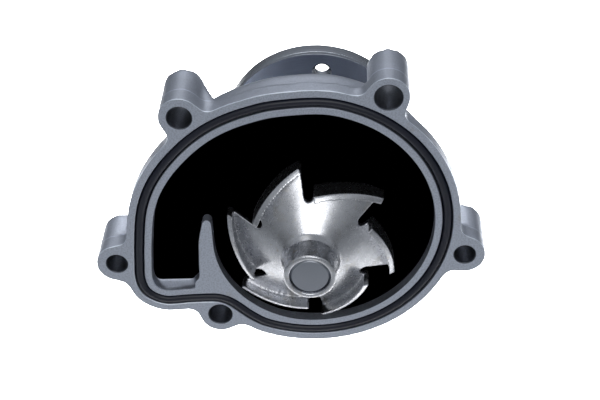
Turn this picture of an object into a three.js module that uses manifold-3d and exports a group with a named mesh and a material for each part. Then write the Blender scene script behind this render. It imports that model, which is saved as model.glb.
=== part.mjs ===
// Automotive coolant pump, built as it comes apart on a bench.
//
// Millimetres. Y is the shaft axis and points from the engine to the pulley, Z is up, X is to the right
// when the pump is seen from the engine. The origin is where the shaft axis meets the sealing face, so
// everything at negative Y reaches into the engine block.

import * as THREE from 'three';
import { mergeVertices } from 'three/addons/utils/BufferGeometryUtils.js';
import Module from 'manifold-3d';

const wasm = await Module();
wasm.setup();

// ---------------------------------------------------------------- driving dimensions

// Casting
const volute = { x: 0, z: 7.5 };      // centre of the round part of the chamber
const sealLoopRadius = 40.9;          // middle of the seal groove round that centre
const grooveWidth = 3.2;
const grooveDepth = 3.4;
const lipWidth = 2.1;                 // land between the chamber and the groove
const landWidth = 2.3;                // land between the groove and the rim's edge
const rimThickness = 6;
const chamberDepth = 18.5;
const chamberFillet = 5;
const bowlWall = 3.2;
const floorWall = 4;
const bossRadius = 6.2;
const bossLength = 18.4;
const bossBlend = 4.6;                // how far a boss flares into the rim
const cutwaterRadius = 29.8;          // volute wall nearest the impeller, round the shaft
const cutwaterEndAngle = 262;
const tongueWidth = 2.6;
const tongueTop = 7.6;
const tongueFootX = -36.5;
const tongueLean = 2.2;               // how much wider the tongue is at its foot
const tongueFootZ = -12.8;
const outletFloorDepth = 3.3;         // shallow end of the outlet ramp
const outletFootZ = -15.2;
const outletSlope = 0.3765;
const outletEaseDepth = 12.6;         // where the ramp eases off into the chamber floor
const outletEaseSlope = 0.2;
const outletEndSlope = 1.4;           // of the wall between the ramp's foot and the sealing face
const hubWall = 2.4;                  // round the face seal's cup
const hubFlare = 1.8;
const hubFaceY = 14.7;
const snoutWall = 4.5;                // round the bearing
const snoutFlare = 3.3;
const snoutEndY = 56;
const ribCount = 6;
const ribThickness = 3.4;
const ribReach = 29;
const gussetLength = 11.2;
const gussetThickness = 5;
const gussetTurn = 4;
const padAngle = 69;                  // ejector pad behind the rim, round the volute centre
const padRadius = 2.8;
const padLength = 6.5;
const weepHoleRadius = 2;
const wideBoltHole = 3.6;
const narrowBoltHole = 3.2;

// Shaft and bearing
const noseRadius = 6;
const noseEndY = -17.6;
const shaftRadius = 8;
const shoulderY = -5.6;
const shaftEndY = 69.2;
const bearingRadius = 15;
const rollingGap = 4;                 // from the shaft to the bearing's outer ring
const bearingFrontY = 30;
const bearingRearY = 57;
const ballRadius = 2.8;
const ballCount = 8;
const ballRowY = 36.6;
const rollerLength = 9;
const rollerCount = 12;
const rollerRowY = 48.4;
const cageWall = 1.7;

// Face seal
const sealCupWall = 0.7;
const sealCupLength = 9.9;
const sealCupReach = 5.6;             // from the carbon ring to the cup
const faceGap = 0.9;                  // from the shaft to the carbon ring
const faceWidth = 2.9;
const faceContactY = 10.5;
const matingRingThickness = 4.3;
const springWire = 1.2;
const springTurns = 3.5;

// Impeller
const sheet = 1.6;
const collarTipY = -18;
const collarBaseRadius = 8.9;
const collarBaseY = -8.7;
const coneSlope = 0.65;
const bladeCount = 6;
const bladeTipRadius = 26.4;
const bladeRootRadius = 19.6;
const bladeTipAngle = 34.6;
const bladeSweep = 50.4;
const bladeCurve = 30;
const bladeRootHeight = 7.1;
const bladeTipHeight = 6;
const notchRadius = 16.6;

// Pulley flange
const flangeRadius = 30.7;
const flangeFrontY = 62.6;
const flangeThickness = 5.9;
const flangeHubRadius = 14;
const flangeHubLength = 4.2;
const pilotRadius = 12.5;
const pilotHeight = 2.4;
const threadRadius = 2.6;
const threadCircle = 23.6;
const threadCount = 4;
const threadAngle = 83;

// Clearances
const pressGap = 0.05;
const seatGap = 0.15;
const runningGap = 0.1;
const rollerGap = 0.05;
const pocketGap = 0.25;               // round each ball or roller in its cage

// Sizes that follow from those above
const faceInnerRadius = shaftRadius + faceGap;
const faceOuterRadius = faceInnerRadius + faceWidth;
const sealCupRadius = faceOuterRadius + sealCupReach;
const hubLandRadius = sealCupRadius + hubWall;
const hubBaseRadius = hubLandRadius + hubFlare;
const snoutRadius = bearingRadius + snoutWall;
const snoutRootRadius = snoutRadius + snoutFlare;
const ringBore = shaftRadius + rollingGap;
const pitchRadius = shaftRadius + rollingGap / 2;
const rollerRadius = rollingGap / 2 - rollerGap;

const round = 40;                     // facets of the large round surfaces
const innerRound = 30;                // facets of the bearing and face seal
const rollerFacets = 10;
const smallRound = 16;                // facets of a bolt hole or boss
const outlineTolerance = 0.08;        // how far the rim's facets stray from its true curve

// ---------------------------------------------------------------- materials

const finish = (color, roughness, metalness) => {
  return new THREE.MeshStandardMaterial({ color, roughness, metalness });
};
const castAluminium = finish(0x9298a6, 0.55, 0.75);
const pressedSteel = finish(0xc9c7c0, 0.25, 1);
const turnedSteel = finish(0x6d727c, 0.3, 1);
const groundSteel = finish(0xa9abb0, 0.2, 1);
const bearingSteel = finish(0xbfc1c6, 0.15, 1);
const darkRubber = finish(0x15161c, 0.5, 0);
const carbon = finish(0x2b2b2d, 0.45, 0.1);
const ceramic = finish(0xe6e0d4, 0.3, 0);
const springSteel = finish(0xb0b2b6, 0.3, 1);
const moulding = finish(0x5b4a33, 0.6, 0);

// ---------------------------------------------------------------- solids

const radians = THREE.MathUtils.degToRad;
const polar = (radius, degrees) => new THREE.Vector2(
  radius * Math.cos(radians(degrees)), radius * Math.sin(radians(degrees)),
);

function signedVolume(geometry) {
  const p = geometry.getAttribute('position');
  const index = geometry.getIndex().array;
  const [a, b, c] = [new THREE.Vector3(), new THREE.Vector3(), new THREE.Vector3()];
  let volume = 0;
  for (let i = 0; i < index.length; i += 3) {
    a.fromBufferAttribute(p, index[i]);
    b.fromBufferAttribute(p, index[i + 1]);
    c.fromBufferAttribute(p, index[i + 2]);
    volume += a.dot(b.cross(c)) / 6;
  }
  return volume;
}

// One closed mesh with shared vertices and its faces pointing out. A pole's zero-width triangles go.
function closed(geometry) {
  geometry.deleteAttribute('normal');
  geometry.deleteAttribute('uv');
  const merged = mergeVertices(geometry, 1e-4);
  const all = merged.getIndex().array;
  const kept = [];
  for (let i = 0; i < all.length; i += 3) {
    const [a, b, c] = all.slice(i, i + 3);
    if (a !== b && b !== c && c !== a) {
      kept.push(a, b, c);
    }
  }
  merged.setIndex(kept);
  if (signedVolume(merged) < 0) {
    merged.setIndex(kept.reverse());
  }
  return merged;
}

function solid(geometry) {
  const mesh = closed(geometry);
  const vertProperties = new Float32Array(mesh.getAttribute('position').array);
  const triVerts = new Uint32Array(mesh.getIndex().array);
  return new wasm.Manifold(new wasm.Mesh({ numProp: 3, vertProperties, triVerts }));
}

function geometryOf(manifold) {
  const { vertProperties, triVerts } = manifold.getMesh();
  const geometry = new THREE.BufferGeometry();
  geometry.setAttribute('position', new THREE.Float32BufferAttribute(vertProperties, 3));
  geometry.setIndex(new THREE.Uint32BufferAttribute(triVerts, 1));
  return geometry;
}

const cutAll = (body, tools) => tools.reduce((rest, tool) => rest.subtract(tool), body);
const joinAll = (body, pieces) => pieces.reduce((sum, piece) => sum.add(piece), body);

// Solid of revolution about the shaft axis. Each profile point is [radius, y].
function turned(profile, facets = round) {
  return new THREE.LatheGeometry(profile.map(([r, y]) => new THREE.Vector2(r, y)), facets);
}

const ringProfile = (inner, outer, from, to) => [
  [inner, from], [outer, from], [outer, to], [inner, to], [inner, from],
];
const rodProfile = (radius, from, to) => [[0, from], [radius, from], [radius, to], [0, to]];

// Prism along the shaft axis from an outline of [x, z] points.
function prism(outline, from, to) {
  const shape = outline instanceof THREE.Shape ? outline : new THREE.Shape(outline);
  const options = { depth: to - from, bevelEnabled: false, curveSegments: smallRound };
  return new THREE.ExtrudeGeometry(shape, options).rotateX(Math.PI / 2).translate(0, to, 0);
}

// Solid through a stack of loops with the same number of [x, z] points, each at its own y.
function lofted(sections) {
  const count = sections[0].loop.length;
  const positions = sections.flatMap(({ loop, y }) => loop.flatMap((p) => [p.x, y, p.y]));
  const index = [];
  for (let level = 0; level + 1 < sections.length; level += 1) {
    for (let i = 0; i < count; i += 1) {
      const [a, b] = [level * count + i, level * count + ((i + 1) % count)];
      index.push(a, b, b + count, a, b + count, a + count);
    }
  }
  const last = (sections.length - 1) * count;
  THREE.ShapeUtils.triangulateShape(sections[0].loop, []).forEach(([a, b, c]) => index.push(a, c, b));
  THREE.ShapeUtils.triangulateShape(sections.at(-1).loop, []).forEach(
    ([a, b, c]) => index.push(last + a, last + b, last + c),
  );
  const geometry = new THREE.BufferGeometry();
  geometry.setAttribute('position', new THREE.Float32BufferAttribute(positions, 3));
  geometry.setIndex(index);
  return geometry;
}

const rodAt = (x, z, radius, from, to) => turned(rodProfile(radius, from, to), smallRound).translate(x, 0, z);

// ---------------------------------------------------------------- outlines in the sealing face

// Where the seal loop leaves its circle: [angle round the volute centre, extra radius].
const loopBulge = [
  [104, 0.2], [111.2, 0.6], [118.3, 1.3], [125.5, 2.15], [133, 3.1], [141, 4.1], [149.8, 5.4], [157.6, 6.8],
  [165.3, 8.2], [174.3, 9.6], [188.2, 11.9], [196.2, 14.3], [201, 16.1], [206, 16.4], [211.2, 13.4],
  [214.9, 7.9], [219.2, 3], [222.8, 0.1], [227, -1.3], [232.3, -1.5], [239.3, -0.8],
];
const circleFrom = -113;
const circleStep = 13;
const circleKnots = Array.from({ length: 16 }, (_, i) => [circleFrom + i * circleStep, 0]);
const aroundVolute = (angle, radius) => polar(radius, angle).add(new THREE.Vector2(volute.x, volute.z));

function seamlessLoop(count) {
  const knots = [...circleKnots, ...loopBulge].map(([angle, extra]) => {
    const knot = aroundVolute(angle, sealLoopRadius + extra);
    return new THREE.Vector3(knot.x, knot.y, 0);
  });
  const curve = new THREE.CatmullRomCurve3(knots, true, 'centripetal');
  return curve.getSpacedPoints(count).slice(0, -1).map((p) => new THREE.Vector2(p.x, p.y));
}

const sealLoop = seamlessLoop(84);

// The same loop moved outwards by a distance, or inwards where it is negative.
function offsetLoop(loop, distance) {
  return loop.map((point, i) => {
    const before = loop[(i + loop.length - 1) % loop.length];
    const after = loop[(i + 1) % loop.length];
    const along = after.clone().sub(before).normalize();
    return new THREE.Vector2(point.x + along.y * distance, point.y - along.x * distance);
  });
}

// The same loop pulled straight towards the volute centre by a distance.
function drawnIn(loop, distance) {
  const centre = new THREE.Vector2(volute.x, volute.z);
  return loop.map((point) => {
    const arm = point.clone().sub(centre);
    return centre.clone().addScaledVector(arm, 1 - distance / arm.length());
  });
}

// Loops that round a wall into its floor: the corner's radius is turned through in a few steps.
function roundedEnd(loop, floorY, radius, steps = 3) {
  return Array.from({ length: steps + 1 }, (_, i) => {
    const turn = (i / steps) * (Math.PI / 2);
    return { loop: drawnIn(loop, radius * (1 - Math.cos(turn))), y: floorY - radius * (1 - Math.sin(turn)) };
  });
}

const grooveHalf = grooveWidth / 2;
const rimEdge = grooveHalf + landWidth;
const chamberInset = grooveHalf + lipWidth;

function loopRadiusAt(angle) {
  const target = THREE.MathUtils.euclideanModulo(angle, 360);
  const gap = (p) => {
    const here = THREE.MathUtils.radToDeg(Math.atan2(p.y - volute.z, p.x - volute.x));
    return Math.abs(THREE.MathUtils.euclideanModulo(here - target + 180, 360) - 180);
  };
  const nearest = sealLoop.reduce((best, p) => (gap(p) < gap(best) ? p : best));
  return Math.hypot(nearest.x - volute.x, nearest.y - volute.z);
}

// Bolt bosses: angle round the volute centre and how far the bolt stands outside the seal loop.
const bolts = [
  { name: 'upper_left', angle: 134.2, beyond: 7.3, hole: wideBoltHole },
  { name: 'upper_right', angle: 60.3, beyond: 7.2, hole: wideBoltHole },
  { name: 'right', angle: -16.4, beyond: 7, hole: narrowBoltHole },
  { name: 'left', angle: 193.1, beyond: 7.4, hole: narrowBoltHole },
  { name: 'lower', angle: 229, beyond: 5.8, hole: wideBoltHole },
].map((bolt) => ({ ...bolt, at: aroundVolute(bolt.angle, loopRadiusAt(bolt.angle) + bolt.beyond) }));

function distanceToLoop(point, loop) {
  let best = Infinity;
  let inside = false;
  loop.forEach((a, i) => {
    const b = loop[(i + 1) % loop.length];
    const edge = b.clone().sub(a);
    const t = THREE.MathUtils.clamp(point.clone().sub(a).dot(edge) / edge.lengthSq(), 0, 1);
    best = Math.min(best, point.distanceTo(a.clone().addScaledVector(edge, t)));
    if ((a.y > point.y) !== (b.y > point.y) && point.x < a.x + (edge.x * (point.y - a.y)) / edge.y) {
      inside = !inside;
    }
  });
  return inside ? -best : best;
}

function blended(a, b, reach) {
  const overlap = Math.max(reach - Math.abs(a - b), 0) / reach;
  return Math.min(a, b) - (overlap * overlap * reach) / 4;
}

// The rim with its bosses flaring into it, found along rays from the volute centre.
function rimOutline(count) {
  const depth = (p) => bolts.reduce(
    (value, bolt) => blended(value, p.distanceTo(bolt.at) - bossRadius, bossBlend),
    distanceToLoop(p, sealLoop) - rimEdge,
  );
  const outerMost = sealLoopRadius * 2;
  return Array.from({ length: count }, (_, i) => {
    const angle = (i * 360) / count;
    let outside = outerMost;
    while (depth(aroundVolute(angle, outside - 1)) > 0) {
      outside -= 1;
    }
    let inside = outside - 1;
    for (let step = 0; step < 12; step += 1) {
      const middle = (inside + outside) / 2;
      if (depth(aroundVolute(angle, middle)) > 0) {
        outside = middle;
      } else {
        inside = middle;
      }
    }
    return aroundVolute(angle, inside);
  });
}

// Leaves out the points that lie within a tolerance of the line between those that stay.
function thinned(points, tolerance) {
  const kept = [points[0]];
  let last = 0;
  for (let i = 2; i <= points.length; i += 1) {
    const end = points[i % points.length];
    const chord = end.clone().sub(points[last]);
    const strays = (p) => Math.abs(chord.cross(p.clone().sub(points[last]))) > tolerance * chord.length();
    if (points.slice(last + 1, i).some(strays)) {
      last = i - 1;
      kept.push(points[last]);
    }
  }
  return kept;
}

// ---------------------------------------------------------------- housing

// Land and tongue between the outlet and the impeller, as seen in the sealing face.
function tongueOutline() {
  const steps = 10;
  const wall = Array.from({ length: steps + 1 }, (_, i) => {
    return polar(cutwaterRadius, THREE.MathUtils.lerp(180, cutwaterEndAngle, i / steps));
  });
  const at = (x, z) => new THREE.Vector2(x, z);
  const leftX = -cutwaterRadius - tongueWidth;
  const cap = at(leftX + tongueWidth / 2, tongueTop + tongueWidth * 0.4);
  const outside = polar(sealLoopRadius, cutwaterEndAngle);
  const foot = [
    at(tongueFootX, outside.y),
    at(tongueFootX, tongueFootZ - 1.4),
    at(tongueFootX + 0.7, tongueFootZ - 0.4),
    at(leftX - tongueLean - 0.3, tongueFootZ),
    at(leftX - tongueLean, tongueFootZ + 6),
    at(leftX - tongueLean + 0.6, tongueFootZ + 14),
    at(leftX, tongueTop),
  ];
  return [cap, at(-cutwaterRadius, tongueTop), ...wall, outside, ...foot];
}

// The outlet floor climbs from the chamber floor towards the sealing face.
function outletRamp() {
  const lowest = outletFootZ - 12;
  const deepest = chamberDepth + 1;
  const easesAt = outletFootZ + (outletEaseDepth - outletFloorDepth) / outletSlope;
  const meets = easesAt + (deepest - outletEaseDepth) / outletEaseSlope;
  const profile = new THREE.Shape();
  profile.moveTo(lowest, -1);
  profile.lineTo(outletFootZ - (outletFloorDepth + 1) / outletEndSlope, -1);
  profile.lineTo(outletFootZ, outletFloorDepth);
  profile.lineTo(easesAt, outletEaseDepth);
  profile.lineTo(meets, deepest);
  profile.lineTo(lowest, deepest);
  const right = -cutwaterRadius - 0.4;
  const width = sealLoopRadius;
  // Shape axes (z, y) are laid along Z and Y, and the extrusion runs along -X from the right side.
  const place = new THREE.Matrix4().makeBasis(
    new THREE.Vector3(0, 0, 1), new THREE.Vector3(0, 1, 0), new THREE.Vector3(-1, 0, 0),
  ).setPosition(right, 0, 0);
  return new THREE.ExtrudeGeometry(profile, { depth: width, bevelEnabled: false }).applyMatrix4(place);
}

function chamberCut() {
  const outline = offsetLoop(sealLoop, -chamberInset);
  let room = solid(lofted([{ loop: outline, y: -2 }, ...roundedEnd(outline, chamberDepth, chamberFillet)]));
  room = room.subtract(solid(prism(tongueOutline(), -10, chamberDepth + 1)));
  room = room.subtract(solid(outletRamp()));
  const below = chamberDepth + 1;
  const hub = [
    [0, hubFaceY],
    [hubLandRadius, hubFaceY],
    [hubLandRadius + 0.7, hubFaceY + 1],
    [hubBaseRadius, chamberDepth - 0.4],
    [hubBaseRadius + 1, below],
    [0, below],
  ];
  return room.subtract(solid(turned(hub)));
}

function rib(angle) {
  const root = chamberDepth + floorWall - 1;
  const profile = new THREE.Shape();
  profile.moveTo(snoutRadius - 2, root);
  profile.lineTo(ribReach, root);
  profile.lineTo(ribReach - 2, root + 3);
  profile.lineTo(snoutRadius + 0.6, snoutEndY - 12);
  profile.lineTo(snoutRadius - 2, snoutEndY - 11);
  const blade = new THREE.ExtrudeGeometry(profile, { depth: ribThickness, bevelEnabled: false });
  return blade.translate(0, 0, -ribThickness / 2).rotateY(-radians(angle));
}

function boss(bolt) {
  const profile = [
    [0, 0],
    [bossRadius, 0],
    [bossRadius - 0.1, bossLength - 0.6],
    [bossRadius - 0.7, bossLength],
    [0, bossLength],
  ];
  return turned(profile, smallRound).translate(bolt.at.x, 0, bolt.at.y);
}

// Web that ties a bolt boss to the wall of the bowl.
function bossWeb(bolt) {
  const reach = bolt.beyond + 2;
  const profile = new THREE.Shape();
  profile.moveTo(0, rimThickness - 1);
  profile.lineTo(-reach, rimThickness - 1);
  profile.lineTo(-reach, bossLength - 2);
  profile.lineTo(-bossRadius + 1, bossLength - 4);
  profile.lineTo(0, bossLength - 4);
  const web = new THREE.ExtrudeGeometry(profile, { depth: ribThickness, bevelEnabled: false });
  web.translate(0, 0, -ribThickness / 2).rotateY(-radians(bolt.angle));
  return web.translate(bolt.at.x, 0, bolt.at.y);
}

// Gusset from the upper left boss down to the back of the rim.
function bossGusset() {
  const at = bolts[0].at;
  const profile = new THREE.Shape();
  profile.moveTo(0, rimThickness - 1);
  profile.lineTo(gussetLength, rimThickness - 1);
  profile.lineTo(bossRadius, bossLength - 1.8);
  profile.lineTo(0, bossLength - 1.8);
  const plate = new THREE.ExtrudeGeometry(profile, { depth: gussetThickness, bevelEnabled: false });
  return plate.translate(0, 0, -gussetThickness / 2).rotateY(radians(gussetTurn)).translate(at.x, 0, at.y);
}

function ejectorPad() {
  const at = aroundVolute(padAngle, loopRadiusAt(padAngle) - 2.2);
  return rodAt(at.x, at.y, padRadius, rimThickness - 1, rimThickness + padLength);
}

function housingBlank() {
  const back = chamberDepth + floorWall;
  const bowlLoop = offsetLoop(sealLoop, bowlWall - chamberInset);
  const mouth = { loop: bowlLoop, y: rimThickness - 1 };
  const bowl = lofted([mouth, ...roundedEnd(bowlLoop, back, chamberFillet, 2)]);
  const snout = turned([
    [0, 8],
    [snoutRootRadius, 8],
    [snoutRootRadius, back + 4],
    [snoutRadius, back + 9],
    [snoutRadius, snoutEndY - 1],
    [snoutRadius - 1, snoutEndY],
    [0, snoutEndY],
  ]);
  const ribs = Array.from({ length: ribCount }, (_, i) => rib((i * 360) / ribCount));
  const rim = solid(prism(thinned(rimOutline(360), outlineTolerance), 0, rimThickness));
  const lumps = [bowl, snout, ...ribs, ...bolts.map(boss), ...bolts.map(bossWeb), bossGusset(), ejectorPad()];
  return joinAll(rim, lumps.map(solid));
}

const bearingSeatY = bearingFrontY - 0.6;
const sealCupFrontY = hubFaceY + 0.3;
const sealCupRearY = sealCupFrontY + sealCupLength;

// Stepped bore for the face seal, the weep space and the bearing.
function shaftBore() {
  const seal = sealCupRadius + pressGap;
  const bearing = bearingRadius + pressGap;
  const collar = bearingRadius - 3.4;
  const [ahead, behind] = [-20, snoutEndY + 5];
  return [
    [0, ahead],
    [seal, ahead],
    [seal, sealCupRearY + pressGap],
    [collar, sealCupRearY + pressGap + 0.6],
    [collar, bearingSeatY - 0.8],
    [bearing, bearingSeatY],
    [bearing, behind],
    [0, behind],
  ];
}

function weepHole() {
  const length = snoutRootRadius + 6;
  const drill = new THREE.CylinderGeometry(weepHoleRadius, weepHoleRadius, length, smallRound);
  const y = (sealCupRearY + bearingSeatY) / 2;
  return drill.rotateX(Math.PI / 2).translate(0, y, -length / 2);
}

function housing() {
  const outer = solid(prism(offsetLoop(sealLoop, grooveHalf), -2, grooveDepth));
  const inner = solid(prism(offsetLoop(sealLoop, -grooveHalf), -4, grooveDepth + 2));
  const groove = outer.subtract(inner);
  const holes = bolts.map((bolt) => solid(rodAt(bolt.at.x, bolt.at.y, bolt.hole, -2, bossLength + 2)));
  const bores = [solid(turned(shaftBore())), solid(weepHole())];
  return geometryOf(cutAll(housingBlank(), [chamberCut(), groove, ...holes, ...bores]));
}

// ---------------------------------------------------------------- seal in the rim

function housingSeal() {
  const band = (half, from, to) => solid(prism(offsetLoop(sealLoop, half), from, to))
    .subtract(solid(prism(offsetLoop(sealLoop, -half), from - 1, to + 1)));
  const base = band(grooveHalf - seatGap, 1, grooveDepth - seatGap);
  const bead = band(0.7, -0.2, 1.5);
  return geometryOf(base.add(bead));
}

// ---------------------------------------------------------------- impeller

const coneY = (radius) => collarBaseY + (radius - collarBaseRadius) * coneSlope;

// Points along a blade from root to tip, moved sideways by half the sheet or its negative.
function bladeLine(sideways, count = 6) {
  const root = polar(bladeRootRadius, bladeTipAngle + bladeSweep);
  const tip = polar(bladeTipRadius, bladeTipAngle);
  const chord = tip.clone().sub(root);
  const middle = root.clone().addScaledVector(chord, 0.5);
  const rise = Math.sqrt(bladeCurve ** 2 - chord.lengthSq() / 4);
  const inward = new THREE.Vector2(chord.y, -chord.x).normalize();
  const centre = middle.addScaledVector(inward, rise);
  const from = Math.atan2(root.y - centre.y, root.x - centre.x);
  const to = Math.atan2(tip.y - centre.y, tip.x - centre.x);
  return Array.from({ length: count + 1 }, (_, i) => {
    const angle = from + ((to - from) * i) / count;
    const radius = bladeCurve + sideways;
    return new THREE.Vector2(centre.x + radius * Math.cos(angle), centre.y + radius * Math.sin(angle));
  });
}

function turnedBy(points, degrees) {
  return points.map((p) => p.clone().rotateAround(new THREE.Vector2(), radians(degrees)));
}

// Star-shaped outline of the web: out along each blade, in along a free edge, round a relief notch.
function webOutline() {
  const pitch = 360 / bladeCount;
  const blade = bladeLine(sheet / 2);
  const notchAngles = [bladeTipAngle - 0.5, bladeTipAngle - 3, bladeTipAngle - 6.5, bladeTipAngle - 9];
  const notch = notchAngles.map((angle, i) => polar(notchRadius + (i % 3 === 0 ? 1.1 : 0), angle));
  const arm = [...blade, ...notch];
  return Array.from({ length: bladeCount }, (_, i) => turnedBy(arm, -i * pitch)).flat();
}

function coneSheet() {
  const bore = noseRadius + pressGap;
  const tip = bore + sheet;
  const rim = bladeTipRadius + 1;
  const backY = collarBaseY + sheet;
  return [
    [bore, collarTipY],
    [tip - 0.4, collarTipY],
    [tip, collarTipY + 0.4],
    [tip + 0.25, collarBaseY - 1.8],
    [collarBaseRadius, collarBaseY],
    [rim, coneY(rim)],
    [rim, coneY(rim) + sheet],
    [collarBaseRadius - 0.6, backY + 0.3],
    [bore + 0.3, backY],
    [bore, backY - 0.6],
    [bore, collarTipY],
  ];
}

function impeller() {
  const web = solid(turned(coneSheet())).intersect(solid(prism(webOutline(), collarTipY - 5, 10)));
  const [low, high] = [bladeRootRadius - 3, bladeTipRadius + 2];
  const grow = (bladeTipHeight - bladeRootHeight) / (bladeTipRadius - bladeRootRadius);
  const front = (radius) => coneY(radius) + sheet - bladeRootHeight - (radius - bladeRootRadius) * grow;
  const envelope = solid(turned([
    [low, front(low)],
    [high, front(high)],
    [high, coneY(high) + sheet],
    [low, coneY(low) + sheet],
    [low, front(low)],
  ]));
  const strip = [...bladeLine(sheet / 2), ...bladeLine(-sheet / 2).reverse()];
  const blades = Array.from({ length: bladeCount }, (_, i) => solid(
    prism(turnedBy(strip, (-i * 360) / bladeCount), collarTipY, 10),
  ).intersect(envelope));
  return geometryOf(joinAll(web, blades));
}

// ---------------------------------------------------------------- shaft and flange

function grooveArc(centreY, radius, side, steps = 4) {
  const half = Math.acos(rollingGap / 2 / radius);
  return Array.from({ length: steps + 1 }, (_, i) => {
    const angle = -half + (2 * half * i) / steps;
    return [pitchRadius + side * radius * Math.cos(angle), centreY + radius * Math.sin(angle)];
  });
}

function pumpShaft() {
  const groove = grooveArc(ballRowY, ballRadius + runningGap, -1);
  return turned([
    [0, noseEndY],
    [noseRadius - 0.6, noseEndY],
    [noseRadius, noseEndY + 0.6],
    [noseRadius, shoulderY - 0.5],
    [shaftRadius - 0.5, shoulderY],
    [shaftRadius, shoulderY + 0.5],
    ...groove,
    [shaftRadius, shaftEndY - 0.7],
    [shaftRadius - 0.7, shaftEndY],
    [0, shaftEndY],
  ], innerRound);
}

const flangeRearY = flangeFrontY + flangeThickness;

function pulleyFlange() {
  const bore = shaftRadius + pressGap;
  const chamfer = 0.5;
  const hubY = flangeFrontY - flangeHubLength;
  const pilotY = flangeRearY + pilotHeight;
  const body = solid(turned([
    [bore, hubY],
    [flangeHubRadius - chamfer, hubY],
    [flangeHubRadius, hubY + chamfer],
    [flangeHubRadius, flangeFrontY],
    [flangeRadius - chamfer, flangeFrontY],
    [flangeRadius, flangeFrontY + chamfer],
    [flangeRadius, flangeRearY - chamfer],
    [flangeRadius - chamfer, flangeRearY],
    [pilotRadius, flangeRearY],
    [pilotRadius, pilotY - chamfer],
    [pilotRadius - chamfer, pilotY],
    [bore, pilotY],
    [bore, hubY],
  ]));
  const hole = [
    [0, flangeFrontY - 1],
    [threadRadius + 1.7, flangeFrontY - 1],
    [threadRadius, flangeFrontY + 0.7],
    [threadRadius, flangeRearY - 0.6],
    [threadRadius + 1.6, flangeRearY + 1],
    [0, flangeRearY + 1],
  ];
  const holes = Array.from({ length: threadCount }, (_, i) => {
    const at = polar(threadCircle, threadAngle + (i * 360) / threadCount);
    return solid(turned(hole, 12).translate(at.x, 0, at.y));
  });
  return geometryOf(cutAll(body, holes));
}

// ---------------------------------------------------------------- bearing

function bearingRing() {
  const groove = grooveArc(ballRowY, ballRadius + runningGap, 1);
  const recess = ringBore + 0.6;
  return turned([
    [recess, bearingFrontY],
    [bearingRadius - 0.5, bearingFrontY],
    [bearingRadius, bearingFrontY + 0.5],
    [bearingRadius, bearingRearY - 0.5],
    [bearingRadius - 0.5, bearingRearY],
    [recess, bearingRearY],
    [recess, bearingRearY - 2.2],
    [ringBore, bearingRearY - 2.4],
    ...groove.reverse(),
    [ringBore, bearingFrontY + 2.4],
    [recess, bearingFrontY + 2.2],
    [recess, bearingFrontY],
  ], innerRound);
}

function bearingBall(index) {
  const at = polar(pitchRadius, (index * 360) / ballCount);
  return new THREE.SphereGeometry(ballRadius, 10, 6).translate(at.x, ballRowY, at.y);
}

function bearingRoller(index) {
  const at = polar(pitchRadius, (index * 360) / rollerCount);
  const half = rollerLength / 2;
  const r = rollerRadius;
  const ease = 0.25;
  const profile = [
    [0, -half], [r - ease, -half], [r, ease - half], [r, half - ease], [r - ease, half], [0, half],
  ];
  return turned(profile, rollerFacets).translate(at.x, rollerRowY, at.y);
}

function cageBand(from, to) {
  const inner = pitchRadius - cageWall / 2;
  return solid(turned(ringProfile(inner, inner + cageWall, from, to), innerRound));
}

// Open-sided cage that the balls snap into.
function ballCage() {
  const band = cageBand(ballRowY - 1.2, ballRowY + 4.2);
  const pockets = Array.from({ length: ballCount }, (_, i) => {
    const at = polar(pitchRadius, (i * 360) / ballCount);
    return solid(new THREE.SphereGeometry(ballRadius + pocketGap, 10, 6).translate(at.x, ballRowY, at.y));
  });
  return geometryOf(cutAll(band, pockets));
}

// Cage with a closed window for each roller.
function rollerCage() {
  const half = rollerLength / 2 + 1.6;
  const band = cageBand(rollerRowY - half, rollerRowY + half);
  const reach = rollerLength / 2 + pocketGap;
  const windows = Array.from({ length: rollerCount }, (_, i) => {
    const at = polar(pitchRadius, (i * 360) / rollerCount);
    const pocket = rodProfile(rollerRadius + pocketGap, rollerRowY - reach, rollerRowY + reach);
    return solid(turned(pocket, rollerFacets).translate(at.x, 0, at.y));
  });
  return geometryOf(cutAll(band, windows));
}

function bearingLipSeal(end) {
  const outward = end === bearingFrontY ? 1 : -1;
  const outer = ringBore + 0.6 - pressGap;
  const lip = shaftRadius + runningGap;
  const section = [
    [lip, 0.5], [outer, 0.3], [outer, 1.8], [lip + 1.6, 1.5], [lip + 0.5, 2.1], [lip, 1.6], [lip, 0.5],
  ];
  return turned(section.map(([r, inset]) => [r, end + outward * inset]), innerRound);
}

// ---------------------------------------------------------------- face seal

const cupInner = sealCupRadius - sealCupWall;
const cupFloorY = sealCupRearY - sealCupWall;
const carbonRearY = faceContactY + 8;
const springRadius = (faceOuterRadius + cupInner) / 2 + 0.4;

function sealCup() {
  const mouth = faceOuterRadius - 1.2;
  return turned([
    [mouth, cupFloorY],
    [cupInner, cupFloorY],
    [cupInner, sealCupFrontY],
    [sealCupRadius, sealCupFrontY],
    [sealCupRadius, sealCupRearY - 0.5],
    [sealCupRadius - 0.5, sealCupRearY],
    [mouth, sealCupRearY],
    [mouth, cupFloorY],
  ], innerRound);
}

function sealBellows() {
  const outer = cupInner - pressGap;
  const inner = faceOuterRadius + pressGap;
  const skin = 0.7;
  return turned([
    [inner, faceContactY + 2],
    [inner + 1.1, faceContactY + 2],
    [inner + 1.3, faceContactY + 5.4],
    [outer - skin, faceContactY + 6],
    [outer, faceContactY + 6],
    [outer, cupFloorY - 1],
    [outer - skin, cupFloorY - 1],
    [outer - skin, faceContactY + 7],
    [inner, faceContactY + 6.6],
    [inner, faceContactY + 2],
  ], innerRound);
}

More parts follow.
